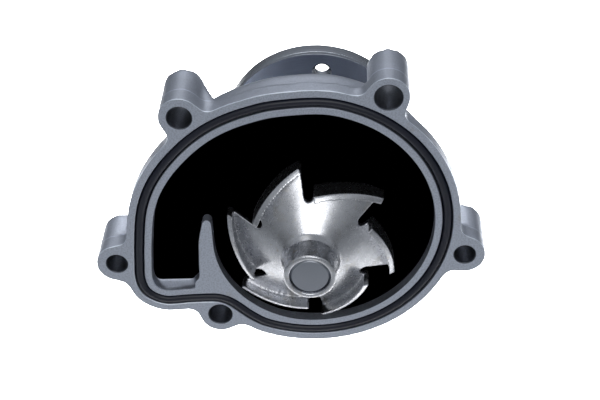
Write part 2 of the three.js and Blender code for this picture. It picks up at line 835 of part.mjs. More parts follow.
class Helix extends THREE.Curve {
  constructor(radius, from, to, turns) {
    super();
    Object.assign(this, { radius, from, to, turns });
  }

  getPoint(t, target = new THREE.Vector3()) {
    const angle = t * this.turns * 2 * Math.PI;
    const y = THREE.MathUtils.lerp(this.from, this.to, t);
    return target.set(this.radius * Math.cos(angle), y, this.radius * Math.sin(angle));
  }
}

function sealSpring() {
  const half = springWire / 2;
  const path = new Helix(springRadius, faceContactY + 7.4 + half, cupFloorY - seatGap - half, springTurns);
  const wire = new THREE.Shape(Array.from({ length: 6 }, (_, i) => polar(half, i * 60)));
  return new THREE.ExtrudeGeometry(wire, { steps: 42, extrudePath: path, bevelEnabled: false });
}

function carbonRing() {
  const nose = faceContactY + 1.3;
  const contact = faceContactY + runningGap;
  return turned([
    [faceInnerRadius, carbonRearY],
    [faceInnerRadius, nose],
    [faceInnerRadius + 0.5, contact],
    [faceOuterRadius - 0.9, contact],
    [faceOuterRadius - 0.9, nose],
    [faceOuterRadius, nose],
    [faceOuterRadius, carbonRearY],
    [faceInnerRadius, carbonRearY],
  ], innerRound);
}

const matingFrontY = faceContactY - matingRingThickness;

function matingRing() {
  const outer = faceOuterRadius + 0.6;
  return turned([
    [faceInnerRadius, matingFrontY],
    [outer - 0.4, matingFrontY],
    [outer, matingFrontY + 0.4],
    [outer, faceContactY],
    [faceInnerRadius, faceContactY],
    [faceInnerRadius, matingFrontY],
  ], innerRound);
}

// Rubber cup that drives the mating ring from the shaft.
function matingBoot() {
  const bore = shaftRadius + pressGap;
  const seat = faceOuterRadius + 0.6 + pressGap;
  const base = matingFrontY - 1.6;
  const sleeve = faceInnerRadius - pressGap;
  return turned([
    [bore, base],
    [seat + 0.6, base],
    [seat + 1, base + 0.5],
    [seat + 1, faceContactY - 1],
    [seat, faceContactY - 1],
    [seat, matingFrontY - pressGap],
    [sleeve, matingFrontY - pressGap],
    [sleeve, faceContactY - 0.6],
    [bore, faceContactY - 0.6],
    [bore, base],
  ], innerRound);
}

// ---------------------------------------------------------------- assembly

const pump = new THREE.Group();

function add(name, geometry, material) {
  const mesh = new THREE.Mesh(closed(geometry), material);
  mesh.name = name;
  pump.add(mesh);
}

add('pump_housing', housing(), castAluminium);
add('housing_seal', housingSeal(), darkRubber);
add('impeller', impeller(), pressedSteel);
add('pump_shaft', pumpShaft(), groundSteel);
add('pulley_flange', pulleyFlange(), turnedSteel);
add('bearing_outer_ring', bearingRing(), bearingSteel);
add('bearing_seal_front', bearingLipSeal(bearingFrontY), darkRubber);
add('bearing_seal_rear', bearingLipSeal(bearingRearY), darkRubber);
add('ball_cage', ballCage(), moulding);
add('roller_cage', rollerCage(), moulding);
for (let i = 0; i < ballCount; i += 1) {
  add(`bearing_ball_${i + 1}`, bearingBall(i), bearingSteel);
}
for (let i = 0; i < rollerCount; i += 1) {
  add(`bearing_roller_${i + 1}`, bearingRoller(i), bearingSteel);
}
add('face_seal_cup', sealCup(), pressedSteel);
add('face_seal_bellows', sealBellows(), darkRubber);
add('face_seal_spring', sealSpring(), springSteel);
add('face_seal_ring', carbonRing(), carbon);
add('mating_ring', matingRing(), ceramic);
add('mating_ring_boot', matingBoot(), darkRubber);

export default pump;
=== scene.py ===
import math

import bmesh
import bpy
import numpy as np
from bpy.props import FloatProperty, FloatVectorProperty, IntProperty, PointerProperty
from mathutils import Matrix, Vector


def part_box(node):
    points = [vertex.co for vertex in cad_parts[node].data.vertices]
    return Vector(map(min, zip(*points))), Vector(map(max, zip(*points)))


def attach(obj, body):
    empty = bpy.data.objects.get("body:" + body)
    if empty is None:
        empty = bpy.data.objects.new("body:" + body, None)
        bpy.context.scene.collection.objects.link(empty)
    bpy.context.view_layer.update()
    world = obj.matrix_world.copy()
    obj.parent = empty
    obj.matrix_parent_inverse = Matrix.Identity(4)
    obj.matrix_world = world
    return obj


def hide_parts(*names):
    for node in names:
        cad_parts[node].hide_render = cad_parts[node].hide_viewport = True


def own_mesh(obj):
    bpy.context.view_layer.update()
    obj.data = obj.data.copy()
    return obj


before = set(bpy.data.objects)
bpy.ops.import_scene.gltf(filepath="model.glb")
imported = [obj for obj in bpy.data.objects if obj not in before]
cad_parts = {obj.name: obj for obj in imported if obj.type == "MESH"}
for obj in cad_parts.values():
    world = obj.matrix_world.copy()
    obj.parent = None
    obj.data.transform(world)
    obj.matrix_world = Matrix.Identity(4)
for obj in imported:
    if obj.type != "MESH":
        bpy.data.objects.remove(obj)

bl_info = {
    "name": "Coolant Pump",
    "version": (1, 0, 0),
    "blender": (4, 5, 0),
    "location": "3D View > Sidebar > Coolant Pump",
    "description": "Builds the finished surfaces of an automotive coolant pump round its packed frame",
    "category": "Object",
}

MM = 0.001


# ---------------------------------------------------------------- sizes read from the frame, in millimetres

def node_box(node):
    low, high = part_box(node)
    return low / MM, high / MM


def node_radius(node):
    low, high = node_box(node)
    return (high.z - low.z) / 2


def section_loops(node, y):
    """Closed loops of (x, z) points where the plane at y cuts a CAD node, largest first."""
    bm = bmesh.new()
    bm.from_mesh(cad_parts[node].data)
    bmesh.ops.remove_doubles(bm, verts=bm.verts, dist=1e-6)
    geometry = bm.verts[:] + bm.edges[:] + bm.faces[:]
    cut = bmesh.ops.bisect_plane(bm, geom=geometry, dist=1e-7, plane_co=(0, y * MM, 0), plane_no=(0, 1, 0))
    edges = {e for e in cut["geom_cut"] if isinstance(e, bmesh.types.BMEdge)}
    loops = []
    while edges:
        edge = edges.pop()
        chain = [edge.verts[0], edge.verts[1]]
        while True:
            following = next((e for e in chain[-1].link_edges if e in edges), None)
            if following is None:
                break
            edges.remove(following)
            chain.append(following.other_vert(chain[-1]))
        loops.append([Vector((v.co.x, v.co.z)) / MM for v in chain[:-1]])
    bm.free()
    return sorted((corners_of(loop) for loop in loops), key=lambda loop: -abs(area(loop)))


def corners_of(loop, straight=0.004):
    """The loop without the points that lie on a straight stretch."""
    kept = []
    for i, point in enumerate(loop):
        before, after = loop[i - 1], loop[(i + 1) % len(loop)]
        if abs((point - before).normalized().cross((after - point).normalized())) > straight:
            kept.append(point)
    return kept


def area(loop):
    return sum(loop[i - 1].cross(point) for i, point in enumerate(loop)) / 2


def counterclockwise(loop):
    return loop if area(loop) > 0 else loop[::-1]


def centre_of(loop):
    return sum(loop, Vector((0, 0))) / len(loop)


def smooth_loop(loop, spacing):
    """The closed loop rounded through its points and divided evenly."""
    fine = []
    for i in range(len(loop)):
        a, b, c, d = loop[i - 1], loop[i], loop[(i + 1) % len(loop)], loop[(i + 2) % len(loop)]
        reach = (c - b).length
        into = (c - a).normalized() * reach
        out = (d - b).normalized() * reach
        for step in range(8):
            t = step / 8
            fine.append(
                b * (2 * t**3 - 3 * t**2 + 1) + into * (t**3 - 2 * t**2 + t)
                + c * (-2 * t**3 + 3 * t**2) + out * (t**3 - t**2)
            )
    return evenly_divided(fine, spacing)


def evenly_divided(loop, spacing):
    lengths = [(loop[(i + 1) % len(loop)] - point).length for i, point in enumerate(loop)]
    total = sum(lengths)
    count = round(total / spacing)
    points, i, passed = [], 0, 0.0
    for k in range(count):
        target = total * k / count
        while passed + lengths[i] < target:
            passed += lengths[i]
            i += 1
        share = (target - passed) / lengths[i]
        points.append(loop[i].lerp(loop[(i + 1) % len(loop)], share))
    return points


def offset_loop(loop, distance):
    """The loop moved outwards by a distance, or inwards where it is negative."""
    moved = []
    for i, point in enumerate(loop):
        along = (loop[(i + 1) % len(loop)] - loop[i - 1]).normalized()
        moved.append(point + Vector((along.y, -along.x)) * distance)
    return moved


def drawn_in(loop, centre, distance):
    """The loop pulled straight towards a centre by a distance."""
    return [point + (centre - point).normalized() * distance for point in loop]


def polar(radius, degrees):
    return Vector((radius * math.cos(math.radians(degrees)), radius * math.sin(math.radians(degrees))))


# ---------------------------------------------------------------- solids, modelled in millimetres

def add_point(bm, x, y, z):
    return bm.verts.new((x * MM, y * MM, z * MM))


def prism(bm, loop, start, end):
    """Adds a prism along the shaft axis whose outline is a loop of (x, z) points."""
    face = bm.faces.new([add_point(bm, p[0], start, p[1]) for p in loop])
    extruded = bmesh.ops.extrude_face_region(bm, geom=[face])["geom"]
    bmesh.ops.translate(bm, verts=verts_in(extruded), vec=(0, (end - start) * MM, 0))
    return extruded


def verts_in(geometry):
    return [v for v in geometry if isinstance(v, bmesh.types.BMVert)]


def stacked(bm, sections):
    """Adds a solid through loops of equal length, each given as (loop, y)."""
    rings = []
    for loop, y in sections:
        verts = [add_point(bm, p.x, y, p.y) for p in loop]
        edges = [bm.edges.new((verts[i - 1], v)) for i, v in enumerate(verts)]
        rings.append((verts, edges))
    for (_, lower), (_, upper) in zip(rings, rings[1:]):
        bmesh.ops.bridge_loops(bm, edges=lower + upper)
    for verts, _ in (rings[0], rings[-1]):
        bm.faces.new(verts)


def turned(bm, profile, steps=96, at=(0, 0)):
    """Adds a solid of revolution round the Y axis. The profile's points are (radius, y)."""
    verts = [add_point(bm, r, y, 0) for r, y in profile]
    closed = profile[0] == profile[-1]
    if closed:
        bm.verts.remove(verts.pop())
    edges = [bm.edges.new((a, b)) for a, b in zip(verts, verts[1:])]
    if closed:
        edges.append(bm.edges.new((verts[-1], verts[0])))
    made = bmesh.ops.spin(
        bm, geom=verts + edges, cent=(0, 0, 0), axis=(0, 1, 0), angle=math.tau, steps=steps, use_merge=True
    )
    around = {v for e in verts for f in e.link_faces for v in f.verts}
    reached = list(connected(around | set(verts) | set(verts_in(made["geom_last"]))))
    bmesh.ops.remove_doubles(bm, verts=reached, dist=1e-7)
    alive = [v for v in reached if v.is_valid]
    bmesh.ops.translate(bm, verts=alive, vec=(at[0] * MM, 0, at[1] * MM))
    return alive


def connected(seeds):
    """Every vertex that can be reached over edges from the seeds."""
    found, waiting = set(seeds), list(seeds)
    while waiting:
        for edge in waiting.pop().link_edges:
            for vert in edge.verts:
                if vert not in found:
                    found.add(vert)
                    waiting.append(vert)
    return found


def blank(build, *arguments):
    """An unfinished object holding what build adds to an empty bmesh."""
    bm = bmesh.new()
    build(bm, *arguments)
    bmesh.ops.recalc_face_normals(bm, faces=bm.faces)
    mesh = bpy.data.meshes.new("blank")
    bm.to_mesh(mesh)
    bm.free()
    made = bpy.data.objects.new("blank", mesh)
    bpy.context.scene.collection.objects.link(made)
    return made


def apply_modifiers(obj):
    graph = bpy.context.evaluated_depsgraph_get()
    mesh = bpy.data.meshes.new_from_object(obj.evaluated_get(graph))
    obj.modifiers.clear()
    obj.data = mesh


def boolean(body, tools, operation):
    """Joins tools to the body or cuts them from it, one after the other, and uses them up."""
    for tool in tools:
        modifier = body.modifiers.new("Boolean", "BOOLEAN")
        modifier.operation = operation
        modifier.solver = "MANIFOLD"
        modifier.object = tool
    apply_modifiers(body)
    for tool in tools:
        bpy.data.objects.remove(tool)
    return body


def cut(body, *tools):
    return boolean(body, tools, "DIFFERENCE")


def join(body, *tools):
    return boolean(body, tools, "UNION")


def as_cast(body, voxel, passes):
    """Rounds every edge as a sand or die casting has them."""
    remesh = body.modifiers.new("Remesh", "REMESH")
    remesh.mode = "VOXEL"
    remesh.voxel_size = voxel
    smooth = body.modifiers.new("Smooth", "SMOOTH")
    smooth.factor = 0.5
    smooth.iterations = passes
    apply_modifiers(body)
    return body


def finished(body, name, materials, rides_on, stands_for, angle=30):
    """Names a finished piece, gives it its materials and shading, and ties it to the frame."""
    body.name = name
    body.data.name = name
    indices = [face.material_index for face in body.data.polygons]
    body.data.materials.clear()
    for material in materials:
        body.data.materials.append(material)
    body.data.polygons.foreach_set("material_index", indices)
    body.data.shade_smooth()
    body.data.set_sharp_from_angle(angle=math.radians(angle))
    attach(body, rides_on)
    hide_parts(*stands_for)
    return body


# ---------------------------------------------------------------- housing

VOLUTE_CENTRE = Vector((0, 7.5))
GROOVE_HALF = 1.6
GROOVE_DEPTH = 3.4
SEAT_GAP = 0.15
CHAMBER_INSET = GROOVE_HALF + 2.1
RIM_EDGE = GROOVE_HALF + 2.3
RIM_THICKNESS = 6
CHAMBER_DEPTH = 18.5
FLOOR_WALL = 4
BOWL_WALL = 3.2
BOSS_BLEND = 4.6
BOSS_RADIUS = 6.2
BOSS_LENGTH = 18.4
CUTWATER = 29.8
CUTWATER_END = 262
TONGUE_WIDTH = 2.6
TONGUE_TOP = 7.6
TONGUE_FOOT_X = -36.5
TONGUE_LEAN = 2.2
TONGUE_DRAFT = 0.04
TONGUE_FOOT_Z = -12.8
OUTLET_END_SLOPE = 1.4
OUTLET_RAMP = (
    (-15.2, 3.3), (9.5, 12.6), (14, 14), (19, 15.2), (24, 16.2), (30, 17.2), (37, 18), (44, 18.6), (50, 19.5),
)
OUTLET_SIDE = 22
HUB_FACE = 14.7
HUB_LAND = 19.8
HUB_BASE = 21.6
SEAL_POCKET = 17.45
SEAL_POCKET_END = 24.95
SNOUT_RADIUS = 19.5
SNOUT_ROOT = 22.8
RIB_THICKNESS = 3.4
RIB_REACH = 29


def seal_line():
    """Middle of the groove that the housing's seal lies in."""
    low, high = node_box("housing_seal")
    outer = counterclockwise(section_loops("housing_seal", high.y - 1)[0])
    return smooth_loop(offset_loop(outer, SEAT_GAP - GROOVE_HALF), 0.6)


def bolt_holes():
    """(centre, radius) of each bolt hole through the rim."""
    small = [loop for loop in section_loops("pump_housing", 1) if abs(area(loop)) < 60]
    return [(centre_of(loop), max((p - centre_of(loop)).length for p in loop)) for loop in small]


def distances(points, line):
    """Distance of each point from a closed line, as arrays of (x, z)."""
    ends = np.roll(line, -1, axis=0)
    edges = ends - line
    arms = points[:, None, :] - line[None, :, :]
    share = np.clip((arms * edges).sum(2) / (edges**2).sum(1), 0, 1)
    return np.linalg.norm(arms - share[..., None] * edges, axis=2).min(1)


def rim_outline(line, holes):
    """Outer edge of the rim: the seal line moved out, with the bolt bosses flaring into it."""
    angles = np.radians(np.arange(0, 360, 0.5))
    rays = np.stack([np.cos(angles), np.sin(angles)], 1)
    centre = np.array(VOLUTE_CENTRE)
    along = np.array([tuple(p) for p in line])

    def outside(reach):
        points = centre + rays * reach[:, None]
        value = distances(points, along) - RIM_EDGE
        for at, _ in holes:
            boss = np.linalg.norm(points - np.array(at), axis=1) - BOSS_RADIUS
            overlap = np.clip(BOSS_BLEND - abs(value - boss), 0, None) / BOSS_BLEND
            value = np.minimum(value, boss) - overlap**2 * BOSS_BLEND / 4
        return value > 0

    far = np.full(len(angles), 80.0)
    while outside(far - 0.5).any():
        far = np.where(outside(far - 0.5), far - 0.5, far)
    near = far - 0.5
    for _ in range(10):
        middle = (near + far) / 2
        beyond = outside(middle)
        far, near = np.where(beyond, middle, far), np.where(beyond, near, middle)
    loop = [Vector(p) for p in centre + rays * near[:, None]]
    return evenly_divided(loop, 0.6)


def rounded_floor(loop, centre, top, floor, radius, draft, steps=8):
    """Sections of a wall that leans in by its draft and turns through a fillet into its floor."""
    wall = drawn_in(loop, centre, draft)
    turns = [math.pi / 2 * i / steps for i in range(steps + 1)]
    fillet = [(drawn_in(wall, centre, radius * (1 - math.cos(t))), floor - radius * (1 - math.sin(t))) for t in turns]
    return [(loop, top), (loop, 0.0)] + fillet


def plate(bm, profile, thickness, angle=0.0, at=(0, 0)):
    """Adds a flat plate that stands along the shaft. Its outline's points are (outward, y)."""
    face = bm.faces.new([add_point(bm, out, y, -thickness / 2) for out, y in profile])
    made = bmesh.ops.extrude_face_region(bm, geom=[face])["geom"]
    bmesh.ops.translate(bm, verts=verts_in(made), vec=(0, 0, thickness * MM))
    place = Matrix.Translation((at[0] * MM, 0, at[1] * MM)) @ Matrix.Rotation(-math.radians(angle), 4, "Y")
    bmesh.ops.transform(bm, matrix=place, verts=list(connected(face.verts)))


def angle_round_volute(point):
    arm = point - VOLUTE_CENTRE
    return math.degrees(math.atan2(arm.y, arm.x))


def add_boss(bm, at, line):
    reach = min((p - at).length for p in line) + 2
    top = BOSS_LENGTH - 4
    turned(bm, [(0, -1), (BOSS_RADIUS, -1), (BOSS_RADIUS - 0.05, BOSS_LENGTH), (0, BOSS_LENGTH)], 48, at)
    web = [(0, 4), (-reach, 4), (-reach, BOSS_LENGTH - 2), (1 - BOSS_RADIUS, top), (0, top)]
    plate(bm, web, RIB_THICKNESS, angle_round_volute(at), at)


def add_casting(bm, line, holes):
    """Adds every lump of the raw casting as a shell of its own; remeshing joins them."""
    outline = rim_outline(line, holes)
    stacked(bm, [(outline, -1.5), (outline, RIM_THICKNESS - 0.1)])
    wall = offset_loop(line, BOWL_WALL - CHAMBER_INSET)
    end = CHAMBER_DEPTH + FLOOR_WALL
    stacked(bm, [(wall, 4)] + rounded_floor(wall, VOLUTE_CENTRE, 5, end, 5.4, 0.3)[2:])
    root = end - 1
    snout_end = node_box("pump_housing")[1].y
    turned(bm, [(0, 8), (SNOUT_ROOT, 8), (SNOUT_ROOT, end + 4), (SNOUT_RADIUS, end + 9), (SNOUT_RADIUS, snout_end + 1), (0, snout_end + 1)])
    rib = [(16, root), (RIB_REACH, root), (RIB_REACH - 2, root + 3), (SNOUT_RADIUS + 0.5, snout_end - 12), (16, snout_end - 11)]
    for angle in range(0, 360, 60):
        plate(bm, rib, RIB_THICKNESS, angle)
    for at, _ in holes:
        add_boss(bm, at, line)
    upper_left = max(holes, key=lambda hole: hole[0].y - hole[0].x)[0]
    gusset = [(0, 4.5), (11.2, 4.5), (BOSS_RADIUS, BOSS_LENGTH - 1.9), (0, BOSS_LENGTH - 1.9)]
    plate(bm, gusset, 5, -4, upper_left)
    pad = VOLUTE_CENTRE + polar(38.6, 69)
    turned(bm, [(0, 4), (2.7, 4), (2.5, RIM_THICKNESS + 6.3), (0, RIM_THICKNESS + 6.3)], 24, pad)


def tongue_outline():
    left = -CUTWATER - TONGUE_WIDTH
    wall = [polar(CUTWATER, 180 + (CUTWATER_END - 180) * i / 40) for i in range(41)]
    middle = left + TONGUE_WIDTH / 2
    cap = [Vector((middle, TONGUE_TOP)) + polar(TONGUE_WIDTH / 2, 180 - 18 * i) for i in range(11)]
    outside = polar(44, CUTWATER_END)
    foot = [
        (TONGUE_FOOT_X, outside.y), (TONGUE_FOOT_X, TONGUE_FOOT_Z - 1.4), (TONGUE_FOOT_X + 0.7, TONGUE_FOOT_Z - 0.4),
        (left - TONGUE_LEAN - 0.3, TONGUE_FOOT_Z), (left - TONGUE_LEAN, TONGUE_FOOT_Z + 6), (left - TONGUE_LEAN + 0.6, TONGUE_FOOT_Z + 14),
    ]
    return cap + wall + [outside] + [Vector(p) for p in foot]


def ramp_side(bm):
    """Adds the slope down which the outlet's ramp falls away towards the impeller."""
    deep = CHAMBER_DEPTH + 1
    left = -CUTWATER - 0.9
    plate(bm, [(4, deep), *OUTLET_RAMP[1:]], OUTLET_SIDE, 90, (left + OUTLET_SIDE / 2, 0))
    for v in bm.verts:
        if v.co.x > (left + OUTLET_SIDE / 2) * MM:
            v.co.y += (deep - OUTLET_RAMP[1][1]) * MM


def chamber_room(line):
    """The hollow of the chamber as one solid, with the rounded corners that a core leaves."""
    tongue = counterclockwise(tongue_outline())
    outline = offset_loop(line, -CHAMBER_INSET)
    deep = CHAMBER_DEPTH + 1
    room = blank(stacked, rounded_floor(outline, VOLUTE_CENTRE, -2, CHAMBER_DEPTH, 5, 1.2))
    foot, foot_depth = OUTLET_RAMP[0]
    low = foot - 12
    ramp = [(low, -1), (foot - (foot_depth + 1) / OUTLET_END_SLOPE, -1), *OUTLET_RAMP, (low, deep)]
    hub = [(0, HUB_FACE - 0.4), (HUB_LAND + 0.1, HUB_FACE - 0.4), (HUB_LAND + 0.5, HUB_FACE + 1),
           (HUB_BASE, CHAMBER_DEPTH - 0.6), (HUB_BASE + 1.5, deep), (0, deep)]
    cut(
        room,
        blank(stacked, [(tongue, -10), (tongue, 0), (offset_loop(tongue, TONGUE_DRAFT * deep), deep)]),
        blank(plate, ramp, 40, 90, (-CUTWATER - 0.4 - 20, 0)),
        blank(ramp_side),
        blank(turned, hub),
    )
    return as_cast(room, 0.62 * MM, 7)


def groove_tool(line):
    """The machined groove, with a small chamfer at each lip."""
    chamfer = 0.18
    outer, inner = offset_loop(line, GROOVE_HALF), offset_loop(line, -GROOVE_HALF)
    outer_lip, inner_lip = offset_loop(line, GROOVE_HALF + chamfer), offset_loop(line, -GROOVE_HALF - chamfer)
    whole = blank(stacked, [(outer_lip, -2), (outer_lip, 0), (outer, chamfer), (outer, GROOVE_DEPTH)])
    return cut(whole, blank(stacked, [(inner_lip, -3), (inner_lip, 0), (inner, chamfer), (inner, GROOVE_DEPTH + 1)]))


def hole_tool(at, radius):
    lip, end = 0.25, BOSS_LENGTH + 2
    return blank(turned, [(0, -2), (radius + lip, -2), (radius + lip, 0), (radius, lip), (radius, end), (0, end)], 48, at)


def bore_tool():
    """Facing of the hub, the face seal's pocket, the weep space and the bearing's seat."""
    front, rear = node_box("bearing_outer_ring")
    seat = (rear.x - front.x) / 2 + 0.05
    end = node_box("pump_housing")[1].y
    return blank(turned, [
        (0, -20), (HUB_LAND + 2.4, -20), (HUB_LAND + 2.4, HUB_FACE), (SEAL_POCKET + 0.4, HUB_FACE), (SEAL_POCKET, HUB_FACE + 0.4),
        (SEAL_POCKET, SEAL_POCKET_END), (seat - 3.4, SEAL_POCKET_END + 0.6), (seat - 3.4, front.y - 1.4), (seat, front.y - 0.6),
        (seat, end - 0.6), (seat + 0.6, end), (40, end), (40, end + 4), (0, end + 4),
    ], 144)


def weep_tool():
    bm = bmesh.new()
    bmesh.ops.create_cone(bm, cap_ends=True, segments=32, radius1=2 * MM, radius2=2 * MM, depth=30 * MM)
    bmesh.ops.translate(bm, verts=bm.verts, vec=(0, (SEAL_POCKET_END + 29.4) / 2 * MM, -15 * MM))
    return blank_from(bm)


def blank_from(bm):
    bmesh.ops.recalc_face_normals(bm, faces=bm.faces)
    mesh = bpy.data.meshes.new("blank")
    bm.to_mesh(mesh)
    bm.free()
    made = bpy.data.objects.new("blank", mesh)
    bpy.context.scene.collection.objects.link(made)
    return made


def mark_machined(body, holes):
    """Gives faces that a tool has cut the second material, and the walls of bolt holes the third, whose dark colour is
    painted shade.
    """
    end = node_box("pump_housing")[1].y
    for face in body.data.polygons:
        at, normal = face.center / MM, face.normal
        radius = math.hypot(at.x, at.z)
        flat = abs(normal.y) > 0.99 and min(abs(at.y), abs(at.y - HUB_FACE), abs(at.y - end)) < 0.03
        bored = radius < SEAL_POCKET + 0.5 and at.y > HUB_FACE
        shaded_hole_walls = any(math.hypot(at.x - c.x, at.z - c.y) < r + 0.3 for c, r in holes)
        # The bolt holes' walls take the third material, whose dark colour is painted shade.
        face.material_index = 1 if flat or bored else 2 if shaded_hole_walls else 0


def build_housing(shape):
    line, holes = seal_line(), bolt_holes()
    body = as_cast(blank(add_casting, line, holes), shape.casting_grid * MM, 4)
    face = [Vector(p) for p in ((-90, -90), (90, -90), (90, 90), (-90, 90))]
    tools = [blank(prism, face, -6, 0), chamber_room(line), groove_tool(line), bore_tool(), weep_tool()]
    cut(body, *tools, *(hole_tool(at, radius) for at, radius in holes))
    mark_machined(body, holes)
    return body


# ---------------------------------------------------------------- turned and swept pieces

def swept(bm, line, profile):
    """Adds a closed band along a line. Its section's points are (outward, y)."""
    stacked_rings(bm, [[Vector((p.x, y, p.y)) for p in offset_loop(line, out)] for out, y in profile])


def stacked_rings(bm, rings):
    """Joins rings of points, each to the next and the last to the first."""
    made = []
    for ring in rings:
        verts = [bm.verts.new(p * MM) for p in ring]
        made.append([bm.edges.new((verts[i - 1], v)) for i, v in enumerate(verts)])
    for i, ring in enumerate(made):
        bmesh.ops.bridge_loops(bm, edges=made[i - 1] + ring)


def seal_profile():
    low, high = node_box("housing_seal")
    half, bead, shoulder = GROOVE_HALF - SEAT_GAP, 1.15, low.y + 1.4
    dome = [(bead * math.sin(math.radians(t)), low.y + 0.8 * bead * (1 - math.cos(math.radians(t)))) for t in range(-90, 91, 18)]
    foot = [(half - 0.3, shoulder), (half, shoulder + 0.3), (half, high.y), (-half, high.y), (-half, shoulder + 0.3)]
    return dome + [(bead + 0.05, shoulder - 0.15)] + foot + [(0.3 - half, shoulder), (-bead - 0.05, shoulder - 0.15)]


def eased(profile, radius=0.3, steps=4):
    """The profile with every corner that can take it turned through a small arc."""
    closed = profile[0] == profile[-1]
    points = [Vector(p) for p in (profile[:-1] if closed else profile)]
    count = len(points)
    result = []
    for i, point in enumerate(points):
        if not closed and i in (0, count - 1):
            result.append(point)
            continue
        into, out = points[i - 1] - point, points[(i + 1) % count] - point
        turn = into.angle(out)
        reach = min(radius / max(math.tan(turn / 2), 1e-6), into.length * 0.45, out.length * 0.45)
        if turn > math.radians(160) or min(p.x for p in (point, points[i - 1])) < 1e-6 and point.x < 1e-6:
            result.append(point)
            continue
        start, end = point + into.normalized() * reach, point + out.normalized() * reach
        for k in range(steps + 1):
            t = k / steps
            result.append(start * (1 - t) ** 2 + point * 2 * t * (1 - t) + end * t**2)
    loop = [(p.x, p.y) for p in result]
    return loop + [loop[0]] if closed else loop


def ring_of(profile, radius=0.25, steps=96):
    return blank(turned, eased(profile + [profile[0]], radius), steps)


def groove_arc(row, radius, pitch, edge, side):
    """Points of the ball groove's section, from the edge it starts at to the edge it ends at."""
    half = math.acos(abs(edge - pitch) / radius)
    angles = [half * i / 8 for i in range(-8, 9)]
    return [(pitch + side * radius * math.cos(a), row + radius * math.sin(a)) for a in angles]


def ball_row():
    """(row's y, ball radius, pitch radius) of the bearing's balls."""
    low, high = node_box("bearing_ball_1")
    middle = (low + high) / 2
    return middle.y, (high.y - low.y) / 2, math.hypot(middle.x, middle.z)


def build_shaft():
    low, high = node_box("pump_shaft")
    radius, nose, shoulder = node_radius("pump_shaft"), 6.0, -5.6
    row, ball, pitch = ball_row()
    groove = groove_arc(row, ball + 0.1, pitch, radius, -1)
    profile = eased([(0, low.y), (nose - 0.7, low.y), (nose, low.y + 0.7), (nose, shoulder - 0.5), (radius - 0.5, shoulder), (radius, shoulder + 0.5)], 0.2)
    rear = eased([(radius, high.y - 3), (radius, high.y - 0.7), (radius - 0.7, high.y), (0, high.y)], 0.2)
    return blank(turned, profile + groove + rear[1:], 96)


def thread_tool(at, front, rear):
    """A tapped hole: countersunk at both ends, with a ridge at every turn."""
    inner, outer, pitch = 2.5, 2.95, 1.0
    profile = [(0, front - 1), (inner + 1.75, front - 1), (inner, front + 0.75)]
    turns = int((rear - front - 1.6) / pitch)
    for i in range(turns):
        y = front + 0.8 + i * pitch
        profile += [(inner, y + 0.1), (outer, y + 0.45), (outer, y + 0.6), (inner, y + 0.95)]
    return blank(turned, profile + [(inner, rear - 0.75), (inner + 1.75, rear + 1), (0, rear + 1)], 48, at)


def build_flange():
    low, high = node_box("pulley_flange")
    radius, bore, hub, pilot = node_radius("pulley_flange"), 8.05, 14.0, 12.5
    front, rear = low.y + 4.2, high.y - 2.4
    body = ring_of([
        (bore, low.y), (hub - 0.5, low.y), (hub, low.y + 0.5), (hub, front), (radius - 0.6, front), (radius, front + 0.6),
        (radius, rear - 0.6), (radius - 0.6, rear), (pilot, rear), (pilot, high.y - 0.5), (pilot - 0.5, high.y), (bore, high.y),
    ], 0.35, 144)
    return cut(body, *(thread_tool(polar(23.6, 83 + 90 * i), front, rear) for i in range(4)))


# ---------------------------------------------------------------- impeller

SHEET = 1.6
CONE_RADIUS, CONE_FRONT, CONE_SLOPE = 8.9, -8.7, 0.65
BLADE_TIP, BLADE_ROOT = 26.4, 19.6
BLADE_ANGLE, BLADE_SWEEP, BLADE_CURVE = 34.6, 50.4, 30
BLADE_COUNT = 6
NOTCH_RADIUS = 16.6


def cone_y(radius):
    return CONE_FRONT + (radius - CONE_RADIUS) * CONE_SLOPE


def blade_line(sideways, count=24):
    """Points along a blade from root to tip, moved sideways from the middle of its sheet."""
    root, tip = polar(BLADE_ROOT, BLADE_ANGLE + BLADE_SWEEP), polar(BLADE_TIP, BLADE_ANGLE)
    chord = tip - root
    rise = math.sqrt(BLADE_CURVE**2 - chord.length_squared / 4)
    centre = root + chord / 2 + Vector((chord.y, -chord.x)).normalized() * rise
    start = math.atan2(root.y - centre.y, root.x - centre.x)
    end = math.atan2(tip.y - centre.y, tip.x - centre.x)
    radius = BLADE_CURVE + sideways
    return [centre + polar(radius, math.degrees(start + (end - start) * i / count)) for i in range(count + 1)]


def turned_by(points, degrees):
    turn = Matrix.Rotation(math.radians(degrees), 2)
    return [turn @ p for p in points]


def web_outline():
    """Star outline of the web: out along each blade, in along a free edge, round a relief notch."""
    middle, half = BLADE_ANGLE - 4.8, 1.4
    notch = [polar(NOTCH_RADIUS + half, middle) + polar(half, middle + 90 + 18 * i) for i in range(11)]
    arm = blade_line(SHEET / 2) + notch
    return [p for i in range(BLADE_COUNT) for p in turned_by(arm, -60 * i)]


def cone_profile():
    bore = 6.05
    tip, rim = bore + SHEET, BLADE_TIP + 1
    top = node_box("impeller")[0].y
    return [
        (bore, top), (tip - 0.4, top), (tip, top + 0.4), (tip + 0.25, CONE_FRONT - 1.8), (CONE_RADIUS, CONE_FRONT),
        (rim, cone_y(rim)), (rim, cone_y(rim) + SHEET), (CONE_RADIUS - 0.6, CONE_FRONT + SHEET + 0.3),
        (bore + 0.3, CONE_FRONT + SHEET), (bore, CONE_FRONT + SHEET - 0.6), (bore, top),
    ]


def blade_envelope():
    low, high = BLADE_ROOT - 3, BLADE_TIP + 2
    slope = (6 - 7.1) / (BLADE_TIP - BLADE_ROOT)

    def front(radius):
        return cone_y(radius) + SHEET - 7.1 - (radius - BLADE_ROOT) * slope

    return [(low, front(low)), (high, front(high)), (high, cone_y(high) + SHEET), (low, cone_y(low) + SHEET), (low, front(low))]


def intersect(body, tool):
    return boolean(body, [tool], "INTERSECT")


